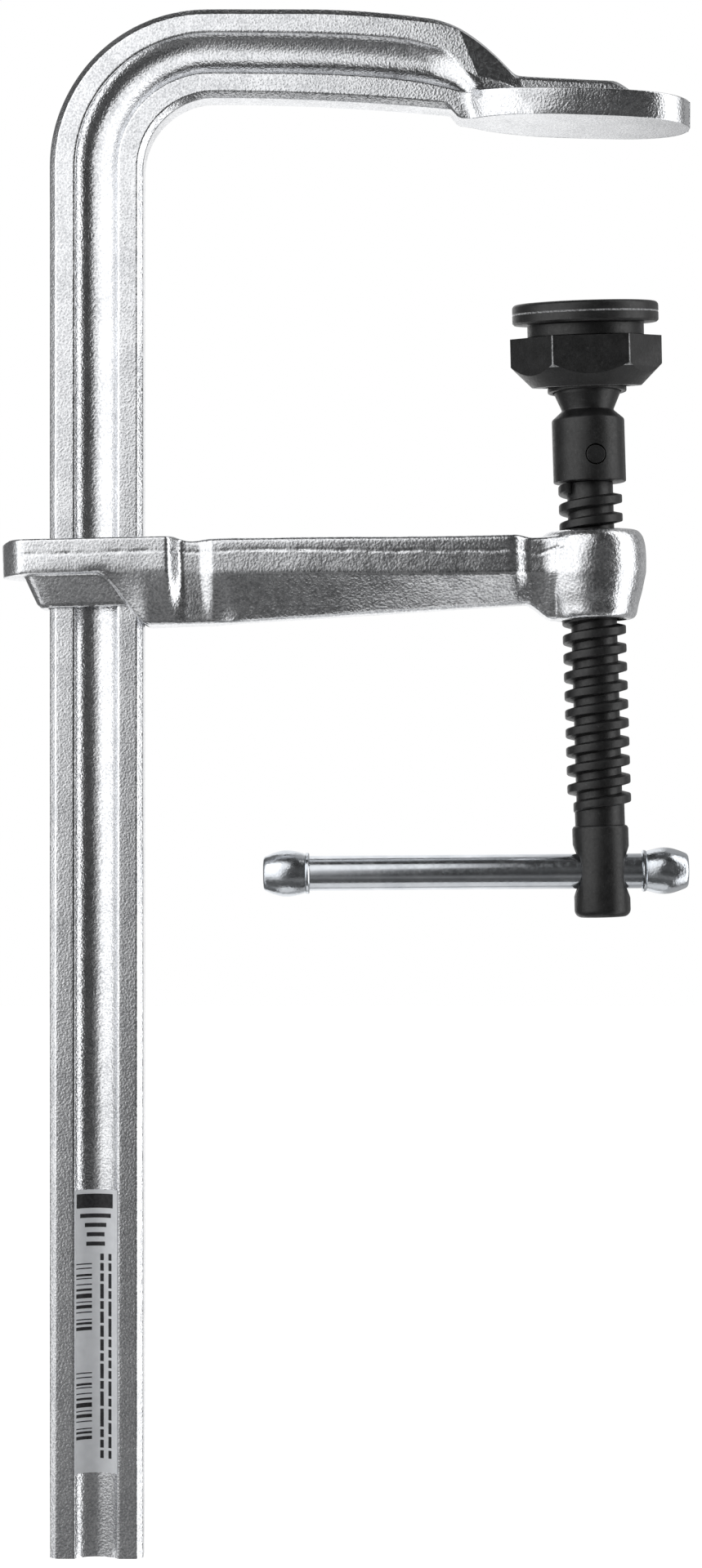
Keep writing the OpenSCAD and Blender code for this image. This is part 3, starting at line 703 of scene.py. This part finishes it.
def jaw_low(x):
    """Underside: the flange, the sweep down to the keel, the arm and the fillet under the boss."""
    if x < ARM_START:
        return mix(0, -ARM_DEPTH, smooth(-1, SLOT_X + 1, x) ** 1.2)
    fillet = 4.6 * smooth(AXIS_X - 18.5, AXIS_X - 11, x)
    return mix(-ARM_DEPTH, BOSS_BOTTOM + 5.2, (x - ARM_START) / (AXIS_X - ARM_START)) - fillet


def jaw_high(x):
    """Upper side of the loop, the two waists and the arm."""
    return eased([(LOOP_LEFT, LOOP_TOP - 0.7), (LOOP_LEFT + 4, LOOP_TOP), (LOOP_RIGHT, LOOP_TOP - 0.3),
                  (WAIST_X, LOOP_TOP - 1.5), (ARM_START, LOOP_TOP - 1.1), (ARM_END, BOSS_TOP - 0.9),
                  (WAIST2_X, BOSS_TOP - 1.7), (AXIS_X, BOSS_TOP - 1.2)], x)


def jaw_crease(x):
    """Height at which the upright rim ends and the slanted lower face begins."""
    crease = eased([(0, 1.6), (SLOT_X, 0.6), (WAIST_X, -0.3), (ARM_START, RIM_BOTTOM),
                    (ARM_END, RIM_BOTTOM - 2.1), (AXIS_X, RIM_BOTTOM - 2.1)], x)
    return max(jaw_low(x) + 0.3, crease)


def jaw_parting(x):
    """Height of the line where the forging's two dies met."""
    return eased([(LOOP_RIGHT, 5.45), (WAIST_X, 5.0), (ARM_START, RIM_BOTTOM + PARTING),
                  (ARM_END, RIM_BOTTOM + PARTING - 2.1), (WAIST2_X, RIM_BOTTOM + PARTING - 3.4),
                  (AXIS_X - 8, RIM_BOTTOM + PARTING - 1.4)], x)


def jaw_rim(x):
    """Half-thickness of the loop, the waists and the arm."""
    rim = eased([(LOOP_RIGHT - 1.2, LOOP_Y), (LOOP_RIGHT + 3.4, WAIST_T), (LOOP_RIGHT + 7.7, WAIST_T),
                 (ARM_START + 0.3, ARM_T), (ARM_END - 1, ARM_T), (WAIST2_X - 1, WAIST2_T),
                 (WAIST2_X + 2, WAIST2_T), (WAIST2_X + 8, 11)], x)
    if x < LOOP_LEFT + NOSE_R:
        nose = math.sqrt(max(0.01, NOSE_R ** 2 - (LOOP_LEFT + NOSE_R - x) ** 2))
        rim = -soft_max(-rim, -nose, 0.9)
    return rim


def jaw_edge(x, rim):
    """Half-thickness at the underside."""
    edge = eased([(-4, rim - 0.5), (SLOT_X - 1, LOOP_Y - 4.6), (WAIST_X - 1, KEEL_T + 0.2),
                  (ARM_START - 1, KEEL_T), (ARM_START + 8, EDGE_T), (ARM_END, EDGE_T),
                  (AXIS_X, EDGE_T + 1)], x)
    return min(rim - 0.5, edge)


def jaw_ring(x):
    low, high, crease, rim = jaw_low(x), jaw_high(x), jaw_crease(x), jaw_rim(x)
    edge = jaw_edge(x, rim)
    low_r = min(1.1, (crease - low) * 0.4 + 0.5)
    rim_r = mix(2.2, 0.7, smooth(0, SLOT_X + 2, x))
    top_r = mix(0.8, 1.5, smooth(LOOP_RIGHT, ARM_START, x))
    half = spread((0.5, low), (edge - low_r, low), 3)
    half += corner((0, low), (edge, low), (rim, crease), low_r, 4)
    flank = [(mix(edge, rim, k), mix(low, crease, k)) for k in (0.15, 0.9)]
    half += spread(*flank, 6)
    half += corner((edge, low), (rim, crease), (rim, high), rim_r, 4)
    half += spread((rim, crease + rim_r + 0.3), (rim, high - 1.9), 6)
    half += corner((rim, crease), (rim, high), (0, high), top_r, 6)
    half += spread((rim - 2.2, high), (0.5, high), 4)
    half.append(np.array((0.5, high)))
    return [(x, y, z) for y, z in whole(half)]


def skirt_ring(x0, x1, y, r, z):
    """A level rectangle from x0 to x1, y to either side, with corners of radius r."""
    out = []
    corners = ((x1 - r, y - r, 0), (x0 + r, y - r, 90), (x0 + r, -y + r, 180), (x1 - r, -y + r, 270))
    for cx, cy, turn in corners:
        out += [(cx + r * math.cos(math.radians(a + turn)), cy + r * math.sin(math.radians(a + turn)), z)
                for a in range(0, 91, 15)]
    return out


def block(name, low, high, place):
    """A plain cutter with square corners."""
    (x0, y0, z0), (x1, y1, z1) = low, high
    points = [(x, y, z) for z in (z0, z1) for y in (y0, y1) for x in (x0, x1)]
    faces = [(0, 2, 3, 1), (4, 5, 7, 6), (0, 1, 5, 4), (2, 6, 7, 3), (0, 4, 6, 2), (1, 3, 7, 5)]
    return mesh_object(name, points, faces, place, soft=False)


def score_parting(jaw):
    """Cuts the fine wavy line that the dies left along the jaw's sides."""
    back = LEANING.inverted()
    normals = [v.normal.copy() for v in jaw.data.vertices]
    for vertex, normal in zip(jaw.data.vertices, normals):
        p = back @ (vertex.co / MM)
        if abs(normal.z) > 0.7 or not LOOP_LEFT + 1.5 < p.x < AXIS_X - 6:
            continue
        line = jaw_parting(p.x) + 0.35 * noise.noise(Vector((p.x / 7, p.y / 30, 3.1)))
        off = (p.z - line) / PARTING_W
        if abs(off) > 3:
            continue
        deep = 0.5 + 0.9 * noise.noise(Vector((p.x / 3, 8.2, p.y / 9)))
        vertex.co -= normal * (PARTING_DEPTH * max(0.25, deep) * math.exp(-off * off)) * MM
    jaw.data.update()


def loop_and_arm():
    steps = (0.02, 0.15, 0.4, 0.8, 1.3, 1.9, 2.5, 3.1, 3.7, 4.2, 4.7, 5.2, 5.7, 6.3, 7.0)
    nose = [LOOP_LEFT + step for step in steps]
    loop = list(np.arange(LOOP_LEFT + 7.6, ARM_START, 0.6))
    arm = list(np.linspace(ARM_START, ARM_END, 50))
    neck = list(np.arange(ARM_END + 0.8, AXIS_X - 6, 0.8))
    return loft("jaw_forging", [jaw_ring(x) for x in nose + loop + arm + neck], LEANING)


def skirt_under_loop():
    left, right = LOOP_LEFT + 5.6, SLOT_X + 3
    rings = [skirt_ring(left + 4.8, right, SLOT_Y + 2.1, 4, -SKIRT_DEPTH),
             skirt_ring(left + 3.7, right, SLOT_Y + 2.7, 4, -SKIRT_DEPTH + 1.0),
             skirt_ring(left + 0.3, right, SLOT_Y + 5.9, 5, 0.4),
             skirt_ring(left, right, SLOT_Y + 6.2, 5, 4)]
    return loft("skirt", rings, LEANING)


def boss_round_screw():
    outline = [(0, BOSS_BOTTOM), (10.3, BOSS_BOTTOM), (11.5, BOSS_BOTTOM + 0.9), (12.1, -12), (13.2, -8.6),
               (14.1, -4.6), (14.4, -3.4), (14.5, 1), (14.3, 4.4), (13.7, 6.6), (12.3, BOSS_TOP),
               (0, BOSS_TOP)]
    return lathe("boss", rounded(outline, 1.2, 4), ON_SCREW)


def merge_forging(obj):
    """Makes one skin of overlapping bodies, with soft fillets where they meet."""
    remesh = obj.modifiers.new("remesh", "REMESH")
    remesh.mode = "VOXEL"
    remesh.voxel_size = VOXEL * MM
    relax = obj.modifiers.new("relax", "SMOOTH")
    relax.factor = 0.5
    relax.iterations = 3
    apply_modifiers(obj)


def build_jaw():
    jaw = join("jaw_forging", [loop_and_arm(), skirt_under_loop(), boss_round_screw()])
    merge_forging(jaw)
    score_parting(jaw)
    roughen(jaw, [(12, 0.12), (4, 0.03)])
    carve(jaw, block("slot", (-SLOT_X, -SLOT_Y, -PAST_JAW), (SLOT_X, SLOT_Y, PAST_JAW), LEANING))
    bore = [(0, -PAST_JAW), (BORE_R, -PAST_JAW), (BORE_R, PAST_JAW), (0, PAST_JAW)]
    carve(jaw, lathe("bore", bore, ON_SCREW))
    shade(jaw, 40)
    dress(jaw, JAW_ZINC, "jaw", "jaw_zinc", "sliding_jaw")


build_jaw()

# -------------------- screw
THREAD_R = 8.5
ROOT_R = 6.15
CREST_W = 2.1
FLANK_W = 0.6
THREAD_START = THREAD_BOTTOM - 1.9
THREAD_TURNS = 17.6
THREAD_STEPS = 60  # per turn
SHANK_R = 6.65
BAR_HOLE_R = 4.945
BAR_HOLE_MOUTH_R = 7.1


def build_thread():
    """The thread's ridge, one closed body that winds up round the core and grows out of it at the bottom."""
    low, high = FLANK_W, FLANK_W + CREST_W
    across = [(0, 0), (low * 0.55, 0.62), (low * 0.85, 0.9), (low + 0.12, 0.985), (low + 0.45, 1),
              (high - 0.45, 1), (high - 0.12, 0.985), (high + low * 0.15, 0.9), (high + low * 0.45, 0.62),
              (high + low, 0)]
    points, rows = [], round(THREAD_TURNS * THREAD_STEPS) + 1
    for i in range(rows):
        turn = i / THREAD_STEPS
        a = 2 * math.pi * turn
        tall = (THREAD_R - ROOT_R) * smooth(0.3, 0.8, turn) + 0.001
        for z, k in across:
            r = ROOT_R - 0.1 * (1 if k == 0 else 0) + tall * k
            points.append((r * math.cos(a), r * math.sin(a), THREAD_START + PITCH * turn + z))
    n = len(across)
    faces = []
    for i in range(rows - 1):
        for j in range(n - 1):
            faces.append((i * n + j, i * n + j + 1, (i + 1) * n + j + 1, (i + 1) * n + j))
        faces.append((i * n, (i + 1) * n, (i + 1) * n + n - 1, i * n + n - 1))
    faces.append(tuple(range(n)))
    faces.append(tuple((rows - 1) * n + j for j in range(n)))
    return mesh_object("thread", points, faces, ON_SCREW)


def build_core():
    thread_on = THREAD_START + PITCH
    core = [(0, HEAD_TOP - 1), (SHANK_R, HEAD_TOP - 1), (SHANK_R, thread_on + 0.2), (ROOT_R, thread_on + 0.9),
            (ROOT_R, COLLAR_BOTTOM - 0.05), (0, COLLAR_BOTTOM - 0.05)]
    return lathe("core", rounded(core, 0.25), ON_SCREW)


def build_head():
    """The plain head with its cross hole, which opens out at both mouths."""
    r, low, edge = HEAD_D / 2, HEAD_TOP - HEAD_H, 2
    head = [(0, low)]
    head += [(r - edge + edge * math.sin(a), low + edge * (1 - math.cos(a)))
             for a in np.linspace(0, math.pi / 2, 9)]
    head += [(r, HEAD_TOP - 0.9), (r - 0.3, HEAD_TOP - 0.3), (r - 0.9, HEAD_TOP), (0, HEAD_TOP)]
    head = lathe("head", head, ON_SCREW)
    sink, past = BAR_HOLE_MOUTH_R - BAR_HOLE_R, 8
    wide = BAR_HOLE_MOUTH_R + past
    hole = [(0, -20), (wide, -r - past), (BAR_HOLE_R, -r + sink)]
    hole += [(BAR_HOLE_R, r - sink), (wide, r + past), (0, 20)]
    carve(head, lathe("hole", hole, ALONG_BAR))
    bevel_edges(head, 0.25, 40)
    return head


def build_screw():
    screw = join("screw", [build_thread(), build_core(), build_head()])
    dress(screw, SCREW_BLACK, "screw", "screw_black", "spindle")


build_screw()

# -------------------- ball stud, pin, ring, nut and plate
COLLAR_R = 9.7
NECK_R = 6.85
CONE_R = 8.8
STUD_BALL_R = 9.6
SOCKET_R = 9.9
PIN_Z = COLLAR_BOTTOM + 6.7
PIN_TURN = 7  # degrees, from the front
PIN_HOLE_R = 2.8
PIN_R = 2.5
PIN_END = 9.4


def build_stud():
    neck, cone = COLLAR_TOP + 2.5, COLLAR_TOP + 7
    profile = [(0, COLLAR_BOTTOM), (COLLAR_R, COLLAR_BOTTOM), (COLLAR_R, COLLAR_TOP), (NECK_R, neck),
               (CONE_R, cone), (CONE_R, cone + 2.3)]
    profile = rounded(profile, 0.45)[:-1]
    profile += [(STUD_BALL_R * math.cos(a), BALL_Z + STUD_BALL_R * math.sin(a))
                for a in np.linspace(-0.41, 1.5, 24)]
    profile.append((0, BALL_Z + STUD_BALL_R))
    stud = lathe("ball_stud_turned", profile, ON_SCREW)
    turned = Matrix.Rotation(math.radians(PIN_TURN), 4, "Z")
    pin_place = ON_SCREW @ Matrix.Translation((0, 0, PIN_Z)) @ turned
    pin_place = pin_place @ Matrix.Rotation(math.pi / 2, 4, "X")
    hole = [(0, -15), (PIN_HOLE_R, -15), (PIN_HOLE_R, 15), (0, 15)]
    carve(stud, lathe("pin_hole", hole, pin_place))
    shade(stud, 30)
    dress(stud, STUD_BLACK, "screw", "stud_black", "ball_stud")
    # The end that shows has a fine ring turned into it.
    pin = [(0, -9.2), (1.0, -9.2), (1.25, -9.0), (1.5, -9.3)]
    pin += [(PIN_R, -PIN_END), (PIN_R, PIN_END), (0, PIN_END)]
    pin = lathe("stud_pin_turned", rounded(pin, 0.2), pin_place)
    dress(pin, PIN_BLACK, "screw", "pin_black", "stud_pin")


RING_INNER_R, RING_OUTER_R = 9.15, 10.55
RING_T = 1.3


def build_ring():
    low = COLLAR_TOP + 7.4
    high = low + RING_T
    ring = [(RING_INNER_R, low), (RING_OUTER_R, low), (RING_OUTER_R, high), (RING_INNER_R, high)]
    section = []
    for k in range(4):
        section += corner(ring[k - 1], ring[k], ring[(k + 1) % 4], 0.3, 3)
    steps, n = 96, len(section)
    points = []
    for i in range(steps):
        a = 2 * math.pi * i / steps
        points += [(r * math.cos(a), r * math.sin(a), z) for r, z in section]
    faces = [(i * n + j, i * n + (j + 1) % n, ((i + 1) % steps) * n + (j + 1) % n, ((i + 1) % steps) * n + j)
             for i in range(steps) for j in range(n)]
    obj = mesh_object("retaining_ring_bent", points, faces, ON_SCREW)
    dress(obj, RING_BLACK, "ring", "ring_black", "retaining_ring")


NUT_BOTTOM = COLLAR_TOP + 9.0
NUT_H = 13.1
NUT_TOP = NUT_BOTTOM + NUT_H
NUT_AF = 35.1
NUT_EDGE = 0.2  # half the width of a worn upright edge
NUT_CONE_R, NUT_CONE_H = 14.65, 4.9
RECESS_R = 11.75
PLATE_BOTTOM = NUT_TOP + 3.6
PLATE_T = 5.4
PLATE_R = 19.5
PLATE_NECK_R = 15.55
PLATE_EDGE_R = 1.1


def wear_edges(obj, widest_mm):
    """Writes the wear value: 1 on the narrow faces that a bevel left along the edges."""
    mesh = obj.data
    bm = bmesh.new()
    bm.from_mesh(mesh)
    worn = [float(face.calc_area() < face.calc_perimeter() / 2 * widest_mm * MM) for face in bm.faces]
    bm.free()
    layer = mesh.attributes.new("wear", "FLOAT", "FACE")
    layer.data.foreach_set("value", worn)


def build_nut():
    r = NUT_AF / 2 / math.cos(math.radians(30))
    # Each upright edge is a narrow worn face.
    off = math.degrees(NUT_EDGE / r)
    angles = [math.radians(a) for i in range(6) for a in (60 * i - off, 60 * i + off)]
    points = [(r * math.cos(a), r * math.sin(a), z) for z in (NUT_BOTTOM, NUT_TOP) for a in angles]
    nut = mesh_object("nut_pressed", points, ring_faces(2, 12), ON_BALL, soft=False)
    cone = [(0, 0), (NUT_CONE_R, 0), (r - 0.72, NUT_CONE_H), (r + 2, NUT_CONE_H + 2.72), (r + 2, NUT_H + 1),
            (0, NUT_H + 1)]
    cone = [(a, NUT_BOTTOM + b) for a, b in cone]
    carve(nut, lathe("cone", cone, ON_BALL, 192), "INTERSECT")
    below, above = NUT_BOTTOM - 1, NUT_BOTTOM + 2.3
    carve(nut, lathe("recess", [(0, below), (RECESS_R, below), (RECESS_R, above), (0, above)], ON_BALL))
    ball = [(0, BALL_Z - SOCKET_R)]
    ball += [(SOCKET_R * math.cos(a), BALL_Z + SOCKET_R * math.sin(a)) for a in np.linspace(-1.5, 1.5, 40)]
    carve(nut, lathe("socket", ball + [(0, BALL_Z + SOCKET_R)], ON_BALL))
    bevel_edges(nut, 0.36, 25)
    wear_edges(nut, 0.4)
    shade(nut, 30)
    dress(nut, NUT_BLACK, "pad", "nut_black", "socket_nut")


def build_plate():
    """The neck, the rim with its fine worn line, and the face with its turned ring."""
    top = PLATE_BOTTOM + PLATE_T
    mid = PLATE_BOTTOM + PLATE_T * 0.5
    r, neck, edge = PLATE_R, PLATE_NECK_R, PLATE_EDGE_R
    profile = [(0, NUT_TOP - 0.01), (neck - 0.35, NUT_TOP - 0.01), (neck, NUT_TOP + 0.35)]
    profile += [(neck, PLATE_BOTTOM - 0.35), (neck + 0.35, PLATE_BOTTOM - 0.01)]
    profile += [(r - 0.5, PLATE_BOTTOM), (r, PLATE_BOTTOM + 0.5)]
    profile += [(r, mid - 0.22), (r - 0.16, mid), (r, mid + 0.22)]
    profile += [(r - edge + edge * math.cos(a), top - edge + edge * math.sin(a))
                for a in np.linspace(0, math.pi / 2, 5)]
    profile += [(12, top), (11.7, top - 0.15), (11.2, top - 0.15), (10.9, top), (0, top)]
    plate = lathe("plate_turned", profile, ON_BALL, 192)
    wear_edges(plate, 0.2)
    shade(plate, 30)
    dress(plate, PLATE_BLACK, "pad", "plate_black", "pressure_plate")


build_stud()
build_ring()
build_nut()
build_plate()

# -------------------- tommy bar
BAR_LEN = 113.6
BAR_SHIFT = -33.7
BAR_D = 9.35
CAP_LEN = 12.3
CAP_IN = 2.0  # how far the bar's end lies inside its cap
CAP_END_R, CAP_COLLAR_R = 4.75, 5.3
CAP_BULGE = 1.2


def build_bar():
    r = BAR_D / 2
    low, high = BAR_SHIFT - BAR_LEN / 2, BAR_SHIFT + BAR_LEN / 2
    bar = [(0, low + CAP_IN), (r, low + CAP_IN), (r, high - CAP_IN), (0, high - CAP_IN)]
    bar = lathe("bar_drawn", rounded(bar, 0.3), ALONG_BAR)
    dress(bar, BAR_ZINC, "bar", "bar_zinc", "tommy_bar")
    # The cap from its outer end inwards: a barrel, then a low collar with a hollow mouth.
    profile = [(0, 0), (4.0, 0), (4.45, 0.25), (CAP_END_R, 0.7)]
    for t in np.linspace(0.03, 0.97, 22):
        r = mix(CAP_END_R, CAP_COLLAR_R, t) + CAP_BULGE * math.sin(math.pi * t)
        profile.append((r, 0.7 + (CAP_LEN - 1.9) * t))
    profile += [(CAP_COLLAR_R, CAP_LEN - 1.1), (5.55, CAP_LEN - 0.85), (5.6, CAP_LEN - 0.3), (5.35, CAP_LEN),
                (4.7, CAP_LEN), (4.7, CAP_LEN - 2), (0, CAP_LEN - 2)]
    for name, end, flip in (("bar_cap_left", low, 0), ("bar_cap_right", high, math.pi)):
        place = ALONG_BAR @ Matrix.Translation((0, 0, end)) @ Matrix.Rotation(flip, 4, "X")
        cap = lathe(name + "_pressed", profile, place)
        dress(cap, CAP_ZINC, "bar", "cap_zinc", name)


build_bar()

# -------------------- label
PAPER_T = 0.12
INK_T = 0.015
LABEL_GAP = 0.1
# Bars and gaps in turn, which spell nothing.
BAR_PATTERN = [3, 1, 2, 1, 1, 4, 1, 2, 3, 1, 1, 2, 4, 1, 2, 2, 1, 3, 1, 1, 2, 3, 1, 2, 1]

GROOVE_R = ((GROOVE_W / 2) ** 2 + GROOVE_DEPTH ** 2) / (2 * GROOVE_DEPTH)
GROOVE_CENTRE_Y = -RAIL_T / 2 + GROOVE_DEPTH - GROOVE_R
LABEL_R = GROOVE_R - LABEL_GAP
LABEL_HALF = math.asin((GROOVE_W / 2 - LABEL_GAP) / LABEL_R)
LABEL_LOW, LABEL_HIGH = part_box("size_label")[0].z / MM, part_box("size_label")[1].z / MM


def strip(name, a0, a1, z0, z1, lift, thick, across=24):
    """A thin curved sheet in the groove, between two angles and two heights, lift above the label's back."""
    points = []
    for t in (0, thick):
        r = LABEL_R - lift - t
        for z in (z0, z1):
            points += [(r * math.sin(a), GROOVE_CENTRE_Y + r * math.cos(a), z)
                       for a in np.linspace(a0, a1, across + 1)]
    n = across + 1
    faces = []
    for i in range(across):
        faces.append((i, i + 1, n + i + 1, n + i))
        faces.append((2 * n + i, 3 * n + i, 3 * n + i + 1, 2 * n + i + 1))
        faces.append((i, 2 * n + i, 2 * n + i + 1, i + 1))
        faces.append((n + i, n + i + 1, 3 * n + i + 1, 3 * n + i))
    faces.append((0, n, 3 * n, 2 * n))
    faces.append((across, 2 * n + across, 3 * n + across, n + across))
    return mesh_object(name, points, faces)


def mark(left, right, bottom, top):
    """A printed block, its place across given as shares of the label's half-width."""
    return strip("mark", LABEL_HALF * left, LABEL_HALF * right, LABEL_LOW + bottom, LABEL_LOW + top,
                 PAPER_T, INK_T, 8)


def build_label():
    """The label and its generic print: groups of bars, a header block, four short lines and two columns."""
    label = strip("label", -LABEL_HALF, LABEL_HALF, LABEL_LOW, LABEL_HIGH, 0, PAPER_T)
    dress(label, LABEL_PAPER, "rail", "label_paper", "size_label")
    marks = []
    for at in (8.9, 38.0):
        for i, step in enumerate(BAR_PATTERN):
            if i % 2 == 0:
                marks.append(mark(-0.92, -0.2, at, at + step * 0.30))
            at += step * 0.39
    marks.append(mark(-0.9, 0.72, 70.6, 74.4))
    for i, reach in enumerate((0.72, 0.5, 0.42, 0.44)):
        marks.append(mark(-reach, reach - 0.1, 68.0 - 2.5 * i, 69.1 - 2.5 * i))
    for column, shift in ((0.14, 0.0), (0.5, 1.1)):
        at = 3.8
        while at < 57.5:
            length = 1.2 + BAR_PATTERN[int(at + shift) % len(BAR_PATTERN)] * 0.9
            marks.append(mark(column, column + 0.15, at, min(at + length, 58.4)))
            at += length + 0.7
    dress(join("label_print", marks), LABEL_INK, "rail", "label_paper")


build_label()

# -------------------- studio
CAMERA_X, CAMERA_Z, CAMERA_DISTANCE = 67.8, 197.6, 880.0
IMAGE_HEIGHT, IMAGE_SHIFT = 1920, 40
IMAGE_SCALE = 4.57  # per mm, at the clamp's middle


def add_camera():
    data = bpy.data.cameras.new("camera")
    data.sensor_fit = "VERTICAL"
    data.angle_y = 2 * math.atan(IMAGE_HEIGHT / IMAGE_SCALE / 2 / CAMERA_DISTANCE)
    data.clip_start = 0.01
    data.clip_end = 20
    data.shift_y = IMAGE_SHIFT / IMAGE_HEIGHT
    camera = bpy.data.objects.new("camera", data)
    bpy.context.scene.collection.objects.link(camera)
    camera.location = Vector((CAMERA_X, -CAMERA_DISTANCE, CAMERA_Z)) * MM
    camera.rotation_euler = (math.pi / 2, 0, 0)
    bpy.context.scene.camera = camera


def add_world():
    """White for the camera.

    What looks out over the top of the studio sees almost nothing, and what looks down sees the pale table.
    """
    world = bpy.data.worlds.new("backdrop")
    world.use_nodes = True
    world.node_tree.nodes.clear()
    g = Graph(world.node_tree)
    background = g.add("ShaderNodeBackground")
    split = g.add("ShaderNodeSeparateXYZ")
    g.plug(g.add("ShaderNodeTexCoord").outputs["Generated"], split.inputs[0])
    seen = g.ramp(split.outputs["Z"], -0.1, 0.1, 0.75, 0.06)
    by_camera = g.add("ShaderNodeLightPath").outputs["Is Camera Ray"]
    g.plug(g.math("MAXIMUM", by_camera, seen), background.inputs["Strength"])
    g.plug((1.0, 1.0, 1.0, 1.0), background.inputs["Color"])
    g.plug(background.outputs["Background"], g.add("ShaderNodeOutputWorld").inputs["Surface"])
    bpy.context.scene.world = world


STUDIO_R = 0.45
STUDIO_LOW, STUDIO_HIGH = -1.0, 1.3


def add_studio():
    """Round wall of light: a big softbox from the front to the left, dark on the front right, white beyond.

    Places on it are given by the angle round from the front (-Y) towards +X, in degrees, and by the height
    in metres.
    """
    sides = 96
    around = [2 * math.pi * i / sides for i in range(sides)]
    points = [(STUDIO_R * math.cos(a), STUDIO_R * math.sin(a), z)
              for z in (STUDIO_LOW, STUDIO_HIGH) for a in around]
    mesh = bpy.data.meshes.new("studio_wall")
    mesh.from_pydata(points, [], ring_faces(2, sides, closed=False))
    wall = add_object("studio_wall", mesh)
    n = Finish("studio_wall")
    n.tree.nodes.remove(n.shader)
    split = n.add("ShaderNodeSeparateXYZ")
    n.plug(n.place, split.inputs[0])
    x, y, height = split.outputs
    turn = n.math("MULTIPLY", n.math("ARCTAN2", x, n.math("MULTIPLY", y, -1.0)), 180 / math.pi)
    away = n.math("ABSOLUTE", turn)

    # The softbox reaches less high the further it goes round to the left.
    ceiling = n.ramp(turn, -92, -55, 0.45, 0.88)
    below_ceiling = n.ramp(n.math("SUBTRACT", height, ceiling), -0.16, 0.16, 1.0, 0.03)
    centre = n.levels(height, [(-0.25, 0.09), (-0.08, 0.20), (0.065, 0.22), (0.10, 0.35), (0.165, 0.556),
                               (0.265, 0.80), (0.35, 0.95), (0.45, 1.08)])
    softbox = n.levels(height, [(-0.25, 0.11), (-0.13, 0.20), (-0.03, 0.62), (0.07, 1.08), (0.18, 1.42),
                                (0.30, 1.5)])
    left = n.levels(height, [(-0.4, 0.2), (-0.3, 0.95), (0.2, 0.95), (0.267, 0.65), (0.384, 0.45),
                             (0.456, 0.30), (0.68, 0.03)])
    right_front = n.levels(height, [(-0.25, 0.09), (-0.08, 0.20), (0.02, 0.09), (0.09, 0.045), (0.3, 0.08),
                                    (0.5, 0.04)])
    right = n.math("MULTIPLY", n.ramp(height, -0.45, 0.0, 0.06, 1.7), n.ramp(height, 0.7, 1.2, 1.0, 0.05))
    back = n.ramp(height, -0.7, -0.4, 0.3, 1.05)

    # The dark front right begins further round where it is higher.
    dark_from = n.ramp(height, 0.25, 0.5, 0.0, 15.5)
    past = n.math("DIVIDE", n.math("SUBTRACT", turn, dark_from), n.ramp(height, 0.25, 0.5, 13.0, 6.0))
    level = n.mix(softbox, centre, n.ramp(turn, -26, -8, 0.0, 1.0))
    level = n.math("MULTIPLY", level, below_ceiling)
    level = n.mix(left, level, n.ramp(turn, -90, -72, 0.0, 1.0))
    level = n.mix(level, right_front, n.ramp(past, -1, 1, 0.0, 1.0))
    for panel, start, end in ((right, 60, 70), (0.17, 88, 102), (0.4, 104, 114)):
        level = n.mix(level, panel, n.ramp(turn, start, end, 0.0, 1.0))
    level = n.mix(0.14, level, n.ramp(turn, -106, -94, 0.0, 1.0))
    level = n.mix(level, back, n.ramp(away, 148, 166, 0.0, 1.0))
    light = n.add("ShaderNodeEmission")
    n.plug(level, light.inputs["Strength"])
    n.show_to_camera(light.outputs[0], False)
    mesh.materials.append(n.material)


def add_floor():
    """White floor under the clamp's lowest pose, brightest outside the studio. Only the camera sees it."""
    mesh = bpy.data.meshes.new("floor")
    size, depth = 4.0, -0.085
    mesh.from_pydata([(-size, -size, depth), (size, -size, depth), (size, size, depth), (-size, size, depth)],
                     [], [(0, 1, 2, 3)])
    floor = add_object("floor", mesh)
    n = Finish("floor")
    pale = n.colours(n.noise(200, detail=2), [(0.0, (0.80, 0.80, 0.80)), (1.0, (0.82, 0.82, 0.82))])
    distance = n.add("ShaderNodeVectorMath", operation="LENGTH")
    n.plug(n.place, distance.inputs[0])
    glow = n.ramp(distance.outputs["Value"], 0.30, 0.42, 0.72, 1.0)
    n.finish(Base_Color=pale, Roughness=0.9, Specular_IOR_Level=0.0,
             Emission_Color=(1.0, 1.0, 1.0, 1.0), Emission_Strength=glow)
    n.show_to_camera(n.shader.outputs[0], True)
    mesh.materials.append(n.material)


add_camera()
add_world()
add_studio()
add_floor()
bpy.context.scene.view_settings.view_transform = "Standard"
